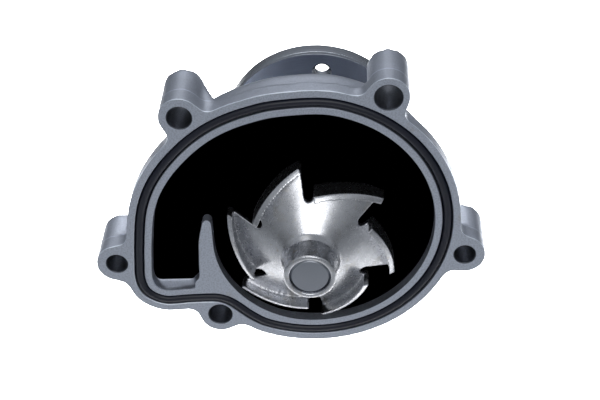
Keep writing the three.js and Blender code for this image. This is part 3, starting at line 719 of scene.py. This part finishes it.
def build_impeller(shape):
    top = node_box("impeller")[0].y
    web = intersect(blank(turned, cone_profile(), 120), blank(prism, web_outline(), top - 5, 10))
    strip = blade_line(SHEET / 2) + blade_line(-SHEET / 2)[::-1]
    blades = [
        intersect(blank(prism, turned_by(strip, -60 * i), top, 10), blank(turned, blade_envelope(), 120))
        for i in range(BLADE_COUNT)
    ]
    return as_cast(join(web, *blades), shape.impeller_grid * MM, 5)


# ---------------------------------------------------------------- bearing

def build_bearing_ring():
    low, high = node_box("bearing_outer_ring")
    row, ball, pitch = ball_row()
    outer, bore = node_radius("bearing_outer_ring"), 2 * pitch - node_radius("pump_shaft")
    recess = bore + 0.6
    groove = groove_arc(row, ball + 0.1, pitch, bore, 1)
    outside = eased([(recess, low.y + 1), (recess, low.y), (outer - 0.5, low.y), (outer, low.y + 0.5),
                     (outer, high.y - 0.5), (outer - 0.5, high.y), (recess, high.y), (recess, high.y - 1)], 0.2)
    inside = [(recess, high.y - 2.2), (bore, high.y - 2.4)] + groove[::-1] + [(bore, low.y + 2.4), (recess, low.y + 2.2)]
    profile = outside + inside
    return blank(turned, profile + [profile[0]], 96)


def ball_at(bm, centre, radius):
    made = bmesh.ops.create_uvsphere(bm, u_segments=32, v_segments=20, radius=radius * MM)
    bmesh.ops.translate(bm, verts=made["verts"], vec=centre * MM)


def roller_at(bm, centre, radius, half, ease=0.25):
    profile = [(0, -half), (radius - ease, -half), (radius, ease - half), (radius, half - ease), (radius - ease, half), (0, half)]
    verts = turned(bm, eased(profile, 0.12), 32, (centre.x, centre.z))
    bmesh.ops.translate(bm, verts=verts, vec=(0, centre.y * MM, 0))


def numbered(prefix):
    return sorted((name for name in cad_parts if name.startswith(prefix)), key=lambda name: int(name.rsplit("_", 1)[1]))


def middle_of(node):
    low, high = node_box(node)
    return (low + high) / 2


def cage_band(node):
    low, high = node_box(node)
    outer = node_radius(node)
    return ring_of([(outer - 1.7, low.y), (outer, low.y), (outer, high.y), (outer - 1.7, high.y)], 0.25, 120)


def build_ball_cage():
    _, ball, _ = ball_row()
    return cut(cage_band("ball_cage"), *(blank(ball_at, middle_of(n), ball + 0.25) for n in numbered("bearing_ball_")))


def build_roller_cage():
    low, high = node_box("bearing_roller_1")
    radius, half = (high.z - low.z) / 2 + 0.2, (high.y - low.y) / 2 + 0.25
    windows = (blank(roller_at, middle_of(n), radius, half, 0.05) for n in numbered("bearing_roller_"))
    return cut(cage_band("roller_cage"), *windows)


def build_lip_seal(node):
    low, high = node_box(node)
    outer, lip = node_radius(node), node_radius("pump_shaft") + 0.1
    front = node == "bearing_seal_front"
    end, outward = (low.y - 0.3, 1) if front else (high.y + 0.3, -1)
    section = [(lip, 0.5), (outer, 0.3), (outer, 1.8), (lip + 1.6, 1.5), (lip + 0.5, 2.1), (lip, 1.6)]
    return ring_of([(r, end + outward * y) for r, y in section], 0.2)


# ---------------------------------------------------------------- face seal

def build_seal_cup():
    low, high = node_box("face_seal_cup")
    outer, wall, mouth = node_radius("face_seal_cup"), 0.7, 10.6
    return ring_of([(mouth, high.y - wall), (outer - wall, high.y - wall), (outer - wall, low.y), (outer, low.y),
                    (outer, high.y), (mouth, high.y)], 0.5)


def build_bellows():
    """Rubber bellows, with a shallow fold between its nose and its rim."""
    low, high = node_box("face_seal_bellows")
    outer, inner = node_radius("face_seal_bellows"), 11.85
    return ring_of([
        (inner, low.y), (inner + 1.1, low.y), (inner + 1.2, low.y + 1.2), (inner + 0.7, low.y + 1.7), (inner + 1.2, low.y + 2.2),
        (inner + 1.3, low.y + 3.5), (outer - 2.4, low.y + 4.6), (outer - 0.7, low.y + 4), (outer, low.y + 4.1), (outer, high.y),
        (outer - 0.7, high.y), (outer - 0.7, low.y + 5.1), (inner, low.y + 4.7),
    ], 0.3)


def build_spring(turns):
    low, high = node_box("face_seal_spring")
    wire = 0.6
    radius = node_radius("face_seal_spring") - wire
    bm = bmesh.new()
    steps, sides = int(turns * 48), 12
    rings = []
    for i in range(steps + 1):
        angle = i / 48 * math.tau
        along = low.y + wire + (high.y - low.y - 2 * wire) * i / steps
        out = Vector((math.cos(angle), 0, math.sin(angle)))
        centre = out * radius + Vector((0, along, 0))
        ring = [centre + out * wire * math.cos(k / sides * math.tau) + Vector((0, wire * math.sin(k / sides * math.tau), 0)) for k in range(sides)]
        verts = [bm.verts.new(p * MM) for p in ring]
        rings.append((verts, [bm.edges.new((verts[k - 1], v)) for k, v in enumerate(verts)]))
    for (_, before), (_, after) in zip(rings, rings[1:]):
        bmesh.ops.bridge_loops(bm, edges=before + after)
    for verts, _ in (rings[0], rings[-1]):
        bm.faces.new(verts)
    return blank_from(bm)


def build_carbon_ring():
    low, high = node_box("face_seal_ring")
    outer, inner = node_radius("face_seal_ring"), 8.9
    return ring_of([(inner, high.y), (inner, low.y + 1.2), (inner + 0.5, low.y), (outer - 0.9, low.y), (outer - 0.9, low.y + 1.2),
                    (outer, low.y + 1.2), (outer, high.y)], 0.15)


def build_mating_ring():
    low, high = node_box("mating_ring")
    outer = node_radius("mating_ring")
    return ring_of([(8.9, low.y), (outer - 0.4, low.y), (outer, low.y + 0.4), (outer, high.y), (8.9, high.y)], 0.15)


def build_mating_boot():
    low, high = node_box("mating_ring_boot")
    outer, bore, seat, top = node_radius("mating_ring_boot"), 8.05, 12.45, low.y + 1.55
    return ring_of([(bore, low.y), (outer - 0.4, low.y), (outer, low.y + 0.5), (outer, high.y - 0.4), (seat, high.y - 0.4),
                    (seat, top), (8.85, top), (8.85, high.y), (bore, high.y)], 0.2)


# ---------------------------------------------------------------- shared effects

class Tree:
    """Short ways to add and link the nodes of one node tree."""

    def __init__(self, tree):
        self.nodes, self.links = tree.nodes, tree.links

    def add(self, kind, inputs=None, **settings):
        node = self.nodes.new(kind)
        for name, value in settings.items():
            setattr(node, name, value)
        for name, value in (inputs or {}).items():
            if isinstance(value, bpy.types.NodeSocket):
                self.links.new(value, node.inputs[name])
            else:
                node.inputs[name].default_value = value
        return node

    def math(self, operation, a, b=0.0):
        return self.add("ShaderNodeMath", {0: a, 1: b}, operation=operation).outputs[0]

    def noise(self, vector, scale, detail=4.0, roughness=0.6):
        values = {"Vector": vector, "Scale": scale, "Detail": detail, "Roughness": roughness}
        return self.add("ShaderNodeTexNoise", values).outputs["Fac"]

    def ramp(self, value, low, high):
        """Zero below low, one above high, smooth between."""
        values = {"Value": value, "From Min": low, "From Max": high}
        return self.add("ShaderNodeMapRange", values, interpolation_type="SMOOTHSTEP").outputs["Result"]

    def mixed(self, factor, a, b):
        node = self.add("ShaderNodeMix", data_type="RGBA")
        for socket, value in ((node.inputs[0], factor), (node.inputs[6], a), (node.inputs[7], b)):
            if isinstance(value, bpy.types.NodeSocket):
                self.links.new(value, socket)
            else:
                socket.default_value = value
        return node.outputs[2]


def effect(name, inputs, outputs, fill):
    """A node group with named float inputs and outputs, which fill gives its nodes."""
    group = bpy.data.node_groups.new(name, "ShaderNodeTree")
    for label, value in inputs.items():
        group.interface.new_socket(label, in_out="INPUT", socket_type="NodeSocketFloat").default_value = value
    for label in outputs:
        kind = "NodeSocketVector" if label == "Normal" else "NodeSocketFloat"
        group.interface.new_socket(label, in_out="OUTPUT", socket_type=kind)
    tree = Tree(group)
    given = group.nodes.new("NodeGroupInput").outputs
    shown = group.nodes.new("NodeGroupOutput").inputs
    for label, socket in fill(tree, given).items():
        group.links.new(socket, shown[label])
    return group


def object_point(tree):
    return tree.add("ShaderNodeTexCoord").outputs["Object"]


def radius_of(tree, point):
    """How far a point is from the shaft's axis."""
    flat = tree.add("ShaderNodeVectorMath", {0: point, 1: (1, 0, 1)}, operation="MULTIPLY").outputs["Vector"]
    return tree.add("ShaderNodeVectorMath", {0: flat}, operation="LENGTH").outputs["Value"]


def fill_cast_grain(tree, given):
    """Fine sand texture with scattered pits, as a height, a mask and a normal."""
    point = object_point(tree)
    fine = tree.noise(point, 2600.0, 3.0)
    broad = tree.noise(point, 420.0, 4.0)
    pits = tree.ramp(tree.noise(point, 1300.0, 2.0), 0.36, 0.3)
    height = tree.math("SUBTRACT", tree.math("ADD", fine, tree.math("MULTIPLY", broad, 1.2)), tree.math("MULTIPLY", pits, 0.8))
    values = {"Strength": 1.0, "Distance": given["Depth"], "Height": height}
    bump = tree.add("ShaderNodeBump", values)
    speckle = tree.ramp(tree.noise(point, 1900.0, 2.0), 0.42, 0.62)
    return {"Speckle": speckle, "Cloud": tree.ramp(tree.noise(point, 60.0, 4.0), 0.35, 0.65), "Normal": bump.outputs["Normal"]}


def fill_edge_wear_and_crease_shade(tree, given):
    """Where the surface is sharply convex, for worn edges, and where it is concave, for painted shade in creases, both
    from the shape's own curvature.
    """
    pointiness = tree.add("ShaderNodeNewGeometry").outputs["Pointiness"]
    # Hollow is high in concave creases, which the materials darken as painted shade.
    return {"Edge": tree.ramp(pointiness, 0.53, 0.6), "Hollow": tree.ramp(pointiness, 0.48, 0.42)}


def fill_rim_highlight_and_parting_line(tree, given):
    """A painted highlight along the rim's front edge, and the mould's parting line behind it, both outside the chamber.
    """
    point = object_point(tree)
    split = tree.add("ShaderNodeSeparateXYZ", {0: point}).outputs
    aside = tree.add("ShaderNodeCombineXYZ", {"X": split["X"], "Y": tree.math("SUBTRACT", split["Z"], VOLUTE_CENTRE.y * MM)})
    away = tree.add("ShaderNodeVectorMath", {0: aside.outputs[0]}, operation="LENGTH").outputs["Value"]
    outside = tree.ramp(away, 0.0425, 0.0435)
    ragged = tree.math("MULTIPLY", tree.noise(point, 350.0, 4.0), 0.0009)
    # Painted highlight: a ragged band beside the face along the rim's front edge.
    front = tree.ramp(tree.math("SUBTRACT", split["Y"], ragged), 0.0002, -0.0001)
    from_line = tree.math("ABSOLUTE", tree.math("SUBTRACT", split["Y"], tree.math("ADD", 0.0056, ragged)))
    normal = tree.add("ShaderNodeSeparateXYZ", {0: tree.add("ShaderNodeTexCoord").outputs["Normal"]}).outputs["Y"]
    upright = tree.ramp(tree.math("ABSOLUTE", normal), 0.6, 0.4)
    line = tree.math("MULTIPLY", tree.ramp(from_line, 0.0003, 0.0), upright)
    return {"Front": tree.math("MULTIPLY", front, outside), "Line": tree.math("MULTIPLY", line, outside)}


def fill_turned_lines(tree, given):
    """Fine rings round the shaft axis, as a turning tool leaves them."""
    point = object_point(tree)
    height = tree.add("ShaderNodeSeparateXYZ", {0: point}).outputs["Y"]
    along = tree.add("ShaderNodeCombineXYZ", {"X": radius_of(tree, point), "Y": height}).outputs[0]
    rings = tree.noise(along, given["Scale"], 4.0)
    bump = tree.add("ShaderNodeBump", {"Strength": 1.0, "Distance": given["Depth"], "Height": rings})
    return {"Rings": rings, "Normal": bump.outputs["Normal"]}


def fill_stains(tree, given):
    """Soft-edged patches, such as heat tint or dried coolant."""
    point = object_point(tree)
    patches = tree.noise(point, given["Scale"], 3.0)
    fringe = tree.noise(point, 900.0, 2.0)
    edge = tree.math("ADD", patches, tree.math("MULTIPLY", fringe, 0.06))
    return {"Patch": tree.ramp(edge, given["Threshold"], tree.math("ADD", given["Threshold"], 0.12))}


def shared_effects():
    """The node groups that the materials use, made once."""
    if "Cast Grain" in bpy.data.node_groups:
        return bpy.data.node_groups
    effect("Cast Grain", {"Depth": 0.00004}, ("Speckle", "Cloud", "Normal"), fill_cast_grain)
    effect("Edge Wear and Crease Shade", {}, ("Edge", "Hollow"), fill_edge_wear_and_crease_shade)
    effect("Rim Highlight and Parting Line", {}, ("Front", "Line"), fill_rim_highlight_and_parting_line)
    effect("Turned Lines", {"Scale": 2500.0, "Depth": 0.000008}, ("Rings", "Normal"), fill_turned_lines)
    effect("Stains", {"Scale": 90.0, "Threshold": 0.6}, ("Patch",), fill_stains)
    return bpy.data.node_groups


# ---------------------------------------------------------------- materials

def new_material(name):
    """An empty material, its tree and its Principled node."""
    material = bpy.data.materials.new(name)
    material.use_nodes = True
    tree = Tree(material.node_tree)
    shader = next(n for n in material.node_tree.nodes if n.type == "BSDF_PRINCIPLED")
    return material, tree, shader


def use_effect(tree, name, **inputs):
    node = tree.add("ShaderNodeGroup", node_tree=shared_effects()[name])
    for label, value in inputs.items():
        node.inputs[label].default_value = value
    return node.outputs


def link(tree, shader, **sockets):
    for name, socket in sockets.items():
        tree.links.new(socket, shader.inputs[name.replace("_", " ")])


def rgba(colour, factor=1.0):
    return (*(c * factor for c in colour), 1.0)


def cast_material(look):
    """Raw casting: satin, faintly clouded, brighter on worn edges, with a painted highlight along the rim's front edge
    and painted shade in its creases.
    """
    material, tree, shader = new_material("Cast aluminium")
    grain, wear_and_crease_shade = use_effect(tree, "Cast Grain", Depth=look.grain_depth * MM), use_effect(tree, "Edge Wear and Crease Shade")
    clouded = tree.mixed(grain["Cloud"], rgba(look.casting, 0.9), rgba(look.casting, 1.06))
    speckled = tree.mixed(tree.math("MULTIPLY", grain["Speckle"], 0.25), clouded, rgba(look.casting, 0.62))
    worn = tree.mixed(tree.math("MULTIPLY", wear_and_crease_shade["Edge"], 0.55), speckled, rgba(look.casting, 1.9))
    # Painted shade: concave creases are darkened.
    shaded_in_creases = tree.mixed(tree.math("MULTIPLY", wear_and_crease_shade["Hollow"], 0.35), worn, rgba(look.casting, 0.4))
    lines = use_effect(tree, "Rim Highlight and Parting Line")
    # Painted highlight along the rim's front edge, 2.2 times the casting's colour.
    rim_highlighted = tree.mixed(tree.math("MULTIPLY", lines["Front"], 0.7), shaded_in_creases, rgba(look.casting, 2.2))
    parted = tree.mixed(tree.math("MULTIPLY", lines["Line"], 0.5), rim_highlighted, rgba(look.casting, 1.9))
    shader.inputs["Metallic"].default_value = 0.85
    rough = tree.math("ADD", tree.math("MULTIPLY", grain["Cloud"], 0.06), look.casting_roughness)
    link(tree, shader, Base_Color=parted, Roughness=rough, Normal=grain["Normal"])
    return material


def machined_material(name, colour, look):
    """Milled faces of the casting: flatter and a little brighter, with a speckle of open pores. It also makes the bolt
    holes' walls, whose dark colour is painted shade.
    """
    material, tree, shader = new_material(name)
    grain, lines = use_effect(tree, "Cast Grain", Depth=look.grain_depth * 0.4 * MM), use_effect(tree, "Turned Lines")
    stain = use_effect(tree, "Stains", Scale=70.0, Threshold=0.66)
    base = tree.mixed(lines["Rings"], rgba(colour, 0.88), rgba(colour, 1.14))
    porous = tree.mixed(tree.math("MULTIPLY", grain["Speckle"], 0.4), base, rgba(colour, 0.55))
    tinted = tree.mixed(tree.math("MULTIPLY", stain["Patch"], 0.35), porous, (0.32, 0.26, 0.16, 1.0))
    shader.inputs["Metallic"].default_value = 0.9
    shader.inputs["Roughness"].default_value = 0.42
    link(tree, shader, Base_Color=tinted, Normal=grain["Normal"])
    return material


def turned_material(name, colour, roughness, anisotropy, depth, scale=2500.0):
    """Steel turned on a lathe: fine rings, and reflections drawn out across them."""
    material, tree, shader = new_material(name)
    lines = use_effect(tree, "Turned Lines", Scale=scale, Depth=depth * MM)
    tangent = tree.add("ShaderNodeTangent", direction_type="RADIAL", axis="Y").outputs[0]
    base = tree.mixed(lines["Rings"], rgba(colour, 0.8), rgba(colour, 1.2))
    shader.inputs["Metallic"].default_value = 1.0
    shader.inputs["Roughness"].default_value = roughness
    shader.inputs["Anisotropic"].default_value = anisotropy
    link(tree, shader, Base_Color=base, Normal=lines["Normal"], Tangent=tangent)
    return material


def pressed_material(look):
    """Bright pressed stainless sheet with faint scuffs, straw-coloured stains and painted shade in its creases."""
    material, tree, shader = new_material("Pressed steel")
    stain, speck = use_effect(tree, "Stains", Scale=210.0, Threshold=0.58), use_effect(tree, "Stains", Scale=700.0, Threshold=0.6)
    wear_and_crease_shade = use_effect(tree, "Edge Wear and Crease Shade")
    point = object_point(tree)
    scuff = tree.noise(point, 700.0, 6.0, 0.7)
    bump = tree.add("ShaderNodeBump", {"Strength": 1.0, "Distance": 0.000022, "Height": scuff}).outputs[0]
    near_collar = tree.ramp(radius_of(tree, point), 0.019, 0.009)
    marks = tree.math("MAXIMUM", tree.math("MULTIPLY", stain["Patch"], 0.5), tree.math("MULTIPLY", speck["Patch"], near_collar))
    stained = tree.mixed(tree.math("MULTIPLY", marks, look.stain_strength), rgba(look.impeller), rgba(look.stain))
    worn = tree.mixed(tree.math("MULTIPLY", wear_and_crease_shade["Edge"], 0.6), stained, rgba(look.impeller, 1.25))
    # Painted shade: concave creases are darkened.
    crease_shaded = tree.mixed(tree.math("MULTIPLY", wear_and_crease_shade["Hollow"], 0.6), worn, rgba(look.impeller, 0.35))
    clouded = tree.mixed(tree.ramp(tree.noise(point, 120.0, 5.0), 0.35, 0.65), crease_shaded, rgba(look.impeller, 0.8))
    shader.inputs["Metallic"].default_value = 1.0
    rough = tree.math("ADD", tree.math("MULTIPLY", scuff, 0.16), look.impeller_roughness)
    link(tree, shader, Base_Color=clouded, Roughness=rough, Normal=bump)
    return material


def rubber_material(look):
    material, tree, shader = new_material("Moulded rubber")
    grain = tree.noise(object_point(tree), 1500.0, 3.0)
    bump = tree.add("ShaderNodeBump", {"Strength": 1.0, "Distance": 0.00001, "Height": grain}).outputs[0]
    shader.inputs["Base Color"].default_value = rgba(look.rubber)
    rough = tree.math("ADD", tree.math("MULTIPLY", grain, 0.15), 0.32)
    link(tree, shader, Roughness=rough, Normal=bump)
    return material


def plain_material(name, colour, roughness, metallic=0.0):
    """One even finish, with a slight variation in its sheen."""
    material, tree, shader = new_material(name)
    cloud = tree.noise(object_point(tree), 300.0, 3.0)
    shader.inputs["Metallic"].default_value = metallic
    base = tree.mixed(cloud, rgba(colour, 0.88), rgba(colour, 1.1))
    link(tree, shader, Base_Color=base, Roughness=tree.math("ADD", tree.math("MULTIPLY", cloud, 0.1), roughness - 0.05))
    return material


def surface(name):
    """The named finish, made on first use."""
    made = bpy.data.materials.get(name)
    if made:
        return made
    look = bpy.context.scene.pump_look
    makers = {
        "Cast aluminium": lambda: cast_material(look),
        "Machined aluminium": lambda: machined_material("Machined aluminium", look.machined, look),
        # Painted shade: the bolt holes' walls get a dark colour for the shade inside them.
        "Drilled aluminium in painted shade": lambda: machined_material("Drilled aluminium in painted shade", look.shaded_hole_walls, look),
        "Moulded rubber": lambda: rubber_material(look),
        "Pressed steel": lambda: pressed_material(look),
        "Turned steel": lambda: turned_material("Turned steel", look.flange, 0.26, 0.75, 0.01),
        "Ground steel": lambda: turned_material("Ground steel", look.shaft, 0.3, 0.4, 0.003, 5000.0),
        "Bearing steel": lambda: plain_material("Bearing steel", (0.62, 0.63, 0.65), 0.14, 1.0),
        "Drawn steel": lambda: plain_material("Drawn steel", (0.5, 0.51, 0.53), 0.28, 1.0),
        "Cage plastic": lambda: plain_material("Cage plastic", (0.3, 0.22, 0.12), 0.5),
        "Carbon": lambda: plain_material("Carbon", (0.025, 0.025, 0.028), 0.42),
        "Ceramic": lambda: plain_material("Ceramic", (0.78, 0.74, 0.66), 0.3),
    }
    return makers[name]()


# ---------------------------------------------------------------- settings

def colour_setting(name, description, default):
    return FloatVectorProperty(name=name, description=description, subtype="COLOR", size=3, min=0, max=1, default=default)


class PumpShape(bpy.types.PropertyGroup):
    casting_grid: FloatProperty(
        name="Casting grid (mm)", description="Grid that rounds the raw casting's edges; finer keeps more detail",
        default=0.8, min=0.5, max=2.0)
    impeller_grid: FloatProperty(
        name="Impeller grid (mm)", description="Grid that rounds the pressed sheet's edges",
        default=0.27, min=0.2, max=0.6)
    spring_turns: FloatProperty(
        name="Spring turns", description="Turns of the face seal's spring", default=3.5, min=1.0, max=8.0)


class PumpLook(bpy.types.PropertyGroup):
    casting: colour_setting("Casting", "Colour of the raw aluminium", (0.47, 0.505, 0.585))
    machined: colour_setting("Machined", "Colour of the milled aluminium faces", (0.53, 0.57, 0.65))
    # Painted shade: a dark colour for the shade inside the bolt holes.
    shaded_hole_walls: colour_setting("Bolt holes", "Colour of the bolt holes' walls", (0.13, 0.14, 0.165))
    impeller: colour_setting("Impeller", "Colour of the pressed stainless sheet", (0.66, 0.67, 0.7))
    stain: colour_setting("Stain", "Colour of the impeller's heat stains", (0.42, 0.35, 0.2))
    flange: colour_setting("Flange", "Colour of the turned pulley flange", (0.3, 0.32, 0.36))
    shaft: colour_setting("Shaft", "Colour of the ground shaft", (0.34, 0.36, 0.4))
    rubber: colour_setting("Rubber", "Colour of the seals", (0.006, 0.008, 0.018))
    stain_strength: FloatProperty(
        name="Stain strength", description="How strongly the impeller is stained", default=0.5, min=0, max=1, subtype="FACTOR")
    impeller_roughness: FloatProperty(
        name="Impeller roughness", description="How dull the pressed sheet is", default=0.2, min=0.05, max=1, subtype="FACTOR")
    grain_depth: FloatProperty(
        name="Grain depth (mm)", description="Depth of the casting's sand texture", default=0.05, min=0, max=0.5)
    casting_roughness: FloatProperty(
        name="Casting roughness", description="How dull the raw casting is", default=0.42, min=0.05, max=1, subtype="FACTOR")


class PumpStudio(bpy.types.PropertyGroup):
    key_power: FloatProperty(name="Key light (W)", description="Power of the softbox over the pump", default=0.4, min=0, unit="POWER")
    fill_power: FloatProperty(name="Fill light (W)", description="Power of the softbox beside the camera", default=2.0, min=0, unit="POWER")
    back_power: FloatProperty(name="Floor light (W)", description="Power of the light over the floor behind", default=40, min=0, unit="POWER")
    surround: FloatProperty(name="Ceiling", description="Brightness of the room overhead", default=0.4, min=0, max=5)
    surround_below: FloatProperty(name="Surround", description="Brightness of the room below the horizon", default=0.12, min=0, max=5)
    floor_drop: FloatProperty(
        name="Floor drop", description="Height of the shaft above the floor", default=0.5, min=0, unit="LENGTH")


# ---------------------------------------------------------------- operators

def finish_pieces(items):
    """Finishes a list of (object, name, material, body, slot), each standing for the CAD node of its name. The slot is
    not used.
    """
    for body, name, material, rides_on, slot in items:
        finished(body, name + "_finish", [surface(material)], rides_on, [name])


class PUMP_OT_housing(bpy.types.Operator):
    """Cast housing with its machined faces, bores and bolt holes"""

    bl_idname = "pump.housing"
    bl_label = "Housing"

    def execute(self, context):
        body = build_housing(context.scene.pump_shape)
        surfaces = [surface("Cast aluminium"), surface("Machined aluminium"), surface("Drilled aluminium in painted shade")]
        finished(body, "housing_finish", surfaces, "housing", ["pump_housing"], 24)
        return {"FINISHED"}


class PUMP_OT_housing_seal(bpy.types.Operator):
    """Rubber seal that lies in the housing's groove"""

    bl_idname = "pump.housing_seal"
    bl_label = "Housing Seal"

    def execute(self, context):
        band = blank(swept, seal_line(), seal_profile())
        finish_pieces([(band, "housing_seal", "Moulded rubber", "housing", "seal_rubber")])
        return {"FINISHED"}


class PUMP_OT_impeller(bpy.types.Operator):
    """Pressed impeller: a coned web with six swept blades"""

    bl_idname = "pump.impeller"
    bl_label = "Impeller"

    def execute(self, context):
        wheel = build_impeller(context.scene.pump_shape)
        finished(wheel, "impeller_finish", [surface("Pressed steel")], "rotor", ["impeller"], 50)
        return {"FINISHED"}


class PUMP_OT_shaft(bpy.types.Operator):
    """Shaft and pulley flange"""

    bl_idname = "pump.shaft"
    bl_label = "Shaft and Flange"

    def execute(self, context):
        finish_pieces([
            (build_shaft(), "pump_shaft", "Ground steel", "rotor", "ground_steel"),
            (build_flange(), "pulley_flange", "Turned steel", "rotor", "turned_steel"),
        ])
        return {"FINISHED"}


class PUMP_OT_bearing(bpy.types.Operator):
    """Bearing: outer ring, lip seals, balls, rollers and their cages"""

    bl_idname = "pump.bearing"
    bl_label = "Bearing"

    def execute(self, context):
        low, high = node_box("bearing_roller_1")
        _, ball, _ = ball_row()
        size = (high.z - low.z) / 2, (high.y - low.y) / 2
        finish_pieces([
            (build_bearing_ring(), "bearing_outer_ring", "Bearing steel", "housing", "bearing_steel"),
            (build_lip_seal("bearing_seal_front"), "bearing_seal_front", "Moulded rubber", "housing", "seal_rubber"),
            (build_lip_seal("bearing_seal_rear"), "bearing_seal_rear", "Moulded rubber", "housing", "seal_rubber"),
            (build_ball_cage(), "ball_cage", "Cage plastic", "ball_set", "cage_plastic"),
            (build_roller_cage(), "roller_cage", "Cage plastic", "roller_set", "cage_plastic"),
        ])
        finish_pieces([
            (blank(ball_at, middle_of(name), ball), name, "Bearing steel", "ball_set", "bearing_steel")
            for name in numbered("bearing_ball_")
        ])
        finish_pieces([
            (blank(roller_at, middle_of(name), *size), name, "Bearing steel", "roller_set", "bearing_steel")
            for name in numbered("bearing_roller_")
        ])
        return {"FINISHED"}


class PUMP_OT_face_seal(bpy.types.Operator):
    """Face seal: cup, bellows, spring, carbon ring and its mating ring"""

    bl_idname = "pump.face_seal"
    bl_label = "Face Seal"

    def execute(self, context):
        bellows, spring = build_bellows(), build_spring(context.scene.pump_shape.spring_turns)
        finish_pieces([
            (build_seal_cup(), "face_seal_cup", "Drawn steel", "housing", "pressed_steel"),
            (bellows, "face_seal_bellows", "Moulded rubber", "housing", "seal_rubber"),
            (spring, "face_seal_spring", "Drawn steel", "housing", "spring_steel"),
            (build_carbon_ring(), "face_seal_ring", "Carbon", "carbon_ring", "carbon"),
            (build_mating_ring(), "mating_ring", "Ceramic", "rotor", "ceramic"),
            (build_mating_boot(), "mating_ring_boot", "Moulded rubber", "rotor", "seal_rubber"),
        ])
        for piece, node in ((bellows, "face_seal_bellows"), (spring, "face_seal_spring")):
            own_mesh(piece)
        return {"FINISHED"}


def add_softbox(name, power, size, at, aim, spread=180):
    light = bpy.data.lights.new(name, "AREA")
    light.spread = math.radians(spread)
    light.energy, light.shape, light.size, light.size_y = power, "RECTANGLE", size[0], size[1]
    lamp = bpy.data.objects.new(name, light)
    lamp.location = at
    lamp.rotation_euler = (Vector(aim) - Vector(at)).to_track_quat("-Z", "Y").to_euler()
    bpy.context.scene.collection.objects.link(lamp)


def add_camera():
    data = bpy.data.cameras.new("Camera")
    data.sensor_width, data.lens = 36, 93.376
    data.clip_start, data.clip_end = 0.01, 20
    camera = bpy.data.objects.new("Camera", data)
    turn = Vector((-33.657, 2.364, 2.644))
    tilt = Matrix.Rotation(math.radians(turn.length), 3, turn.normalized())
    level = Matrix(((1, 0, 0), (0, 0, -1), (0, 1, 0)))
    camera.matrix_world = Matrix.Translation((0.02273, -0.38225, 0.26946)) @ (tilt @ level).to_4x4()
    bpy.context.scene.collection.objects.link(camera)
    bpy.context.scene.camera = camera


def room(studio):
    """A room that is lighter above the horizon than below it."""
    world = bpy.data.worlds.new("Room")
    world.use_nodes = True
    tree = Tree(world.node_tree)
    height = tree.add("ShaderNodeSeparateXYZ", {0: tree.add("ShaderNodeTexCoord").outputs["Generated"]}).outputs["Z"]
    values = {"Value": height, "From Min": -0.1, "From Max": 0.5, "To Min": studio.surround_below, "To Max": studio.surround}
    strength = tree.add("ShaderNodeMapRange", values, interpolation_type="SMOOTHSTEP").outputs["Result"]
    background = world.node_tree.nodes["Background"]
    background.inputs["Color"].default_value = (0.88, 0.93, 1.0, 1)
    world.node_tree.links.new(strength, background.inputs["Strength"])
    return world


class PUMP_OT_studio(bpy.types.Operator):
    """Pale floor, soft lights and camera"""

    bl_idname = "pump.studio"
    bl_label = "Studio"

    def execute(self, context):
        studio = context.scene.pump_studio
        bm = bmesh.new()
        bmesh.ops.create_grid(bm, x_segments=1, y_segments=1, size=4)
        bmesh.ops.translate(bm, verts=bm.verts, vec=(0, 0, -studio.floor_drop))
        floor = blank_from(bm)
        floor.name = "floor"
        material, _, shader = new_material("Floor")
        shader.inputs["Base Color"].default_value = (0.9, 0.9, 0.9, 1)
        shader.inputs["Roughness"].default_value = 0.9
        floor.data.materials.append(material)
        drop = studio.floor_drop
        add_softbox("Top light", studio.key_power, (0.5, 0.4), (-0.2, 0.05, 0.75), (0, 0.02, 0))
        add_softbox("Front light", studio.fill_power, (0.55, 0.35), (0.05, -0.75, 0.5), (0, 0.02, 0))
        add_softbox("Floor light", studio.back_power, (1.4, 1.2), (0, 1.0, 0.4), (0, 0.9, -drop), 90)
        context.scene.world = room(studio)
        context.scene.view_settings.view_transform = "Standard"
        add_camera()
        return {"FINISHED"}


OPERATORS = (PUMP_OT_housing, PUMP_OT_housing_seal, PUMP_OT_impeller, PUMP_OT_shaft, PUMP_OT_bearing, PUMP_OT_face_seal, PUMP_OT_studio)
SETTINGS = {"pump_shape": PumpShape, "pump_look": PumpLook, "pump_studio": PumpStudio}


class PUMP_PT_sidebar(bpy.types.Panel):
    """Lists the pump's pieces and settings"""

    bl_idname = "PUMP_PT_sidebar"
    bl_label = "Coolant Pump"
    bl_space_type = "VIEW_3D"
    bl_region_type = "UI"
    bl_category = "Coolant Pump"

    def draw(self, context):
        for group in SETTINGS:
            settings = getattr(context.scene, group)
            for name in settings.bl_rna.properties.keys():
                if name not in ("rna_type", "name"):
                    self.layout.prop(settings, name)
        for operator in OPERATORS:
            self.layout.operator(operator.bl_idname)


def register():
    for cls in (*SETTINGS.values(), *OPERATORS, PUMP_PT_sidebar):
        bpy.utils.register_class(cls)
    for name, cls in SETTINGS.items():
        setattr(bpy.types.Scene, name, PointerProperty(type=cls))


def unregister():
    for name in SETTINGS:
        delattr(bpy.types.Scene, name)
    for cls in reversed((*SETTINGS.values(), *OPERATORS, PUMP_PT_sidebar)):
        bpy.utils.unregister_class(cls)


def main():
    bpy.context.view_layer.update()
    register()
    bpy.ops.pump.housing()
    bpy.ops.pump.housing_seal()
    bpy.ops.pump.impeller()
    bpy.ops.pump.shaft()
    bpy.ops.pump.bearing()
    bpy.ops.pump.face_seal()
    bpy.ops.pump.studio()


if __name__ == "__main__":
    main()
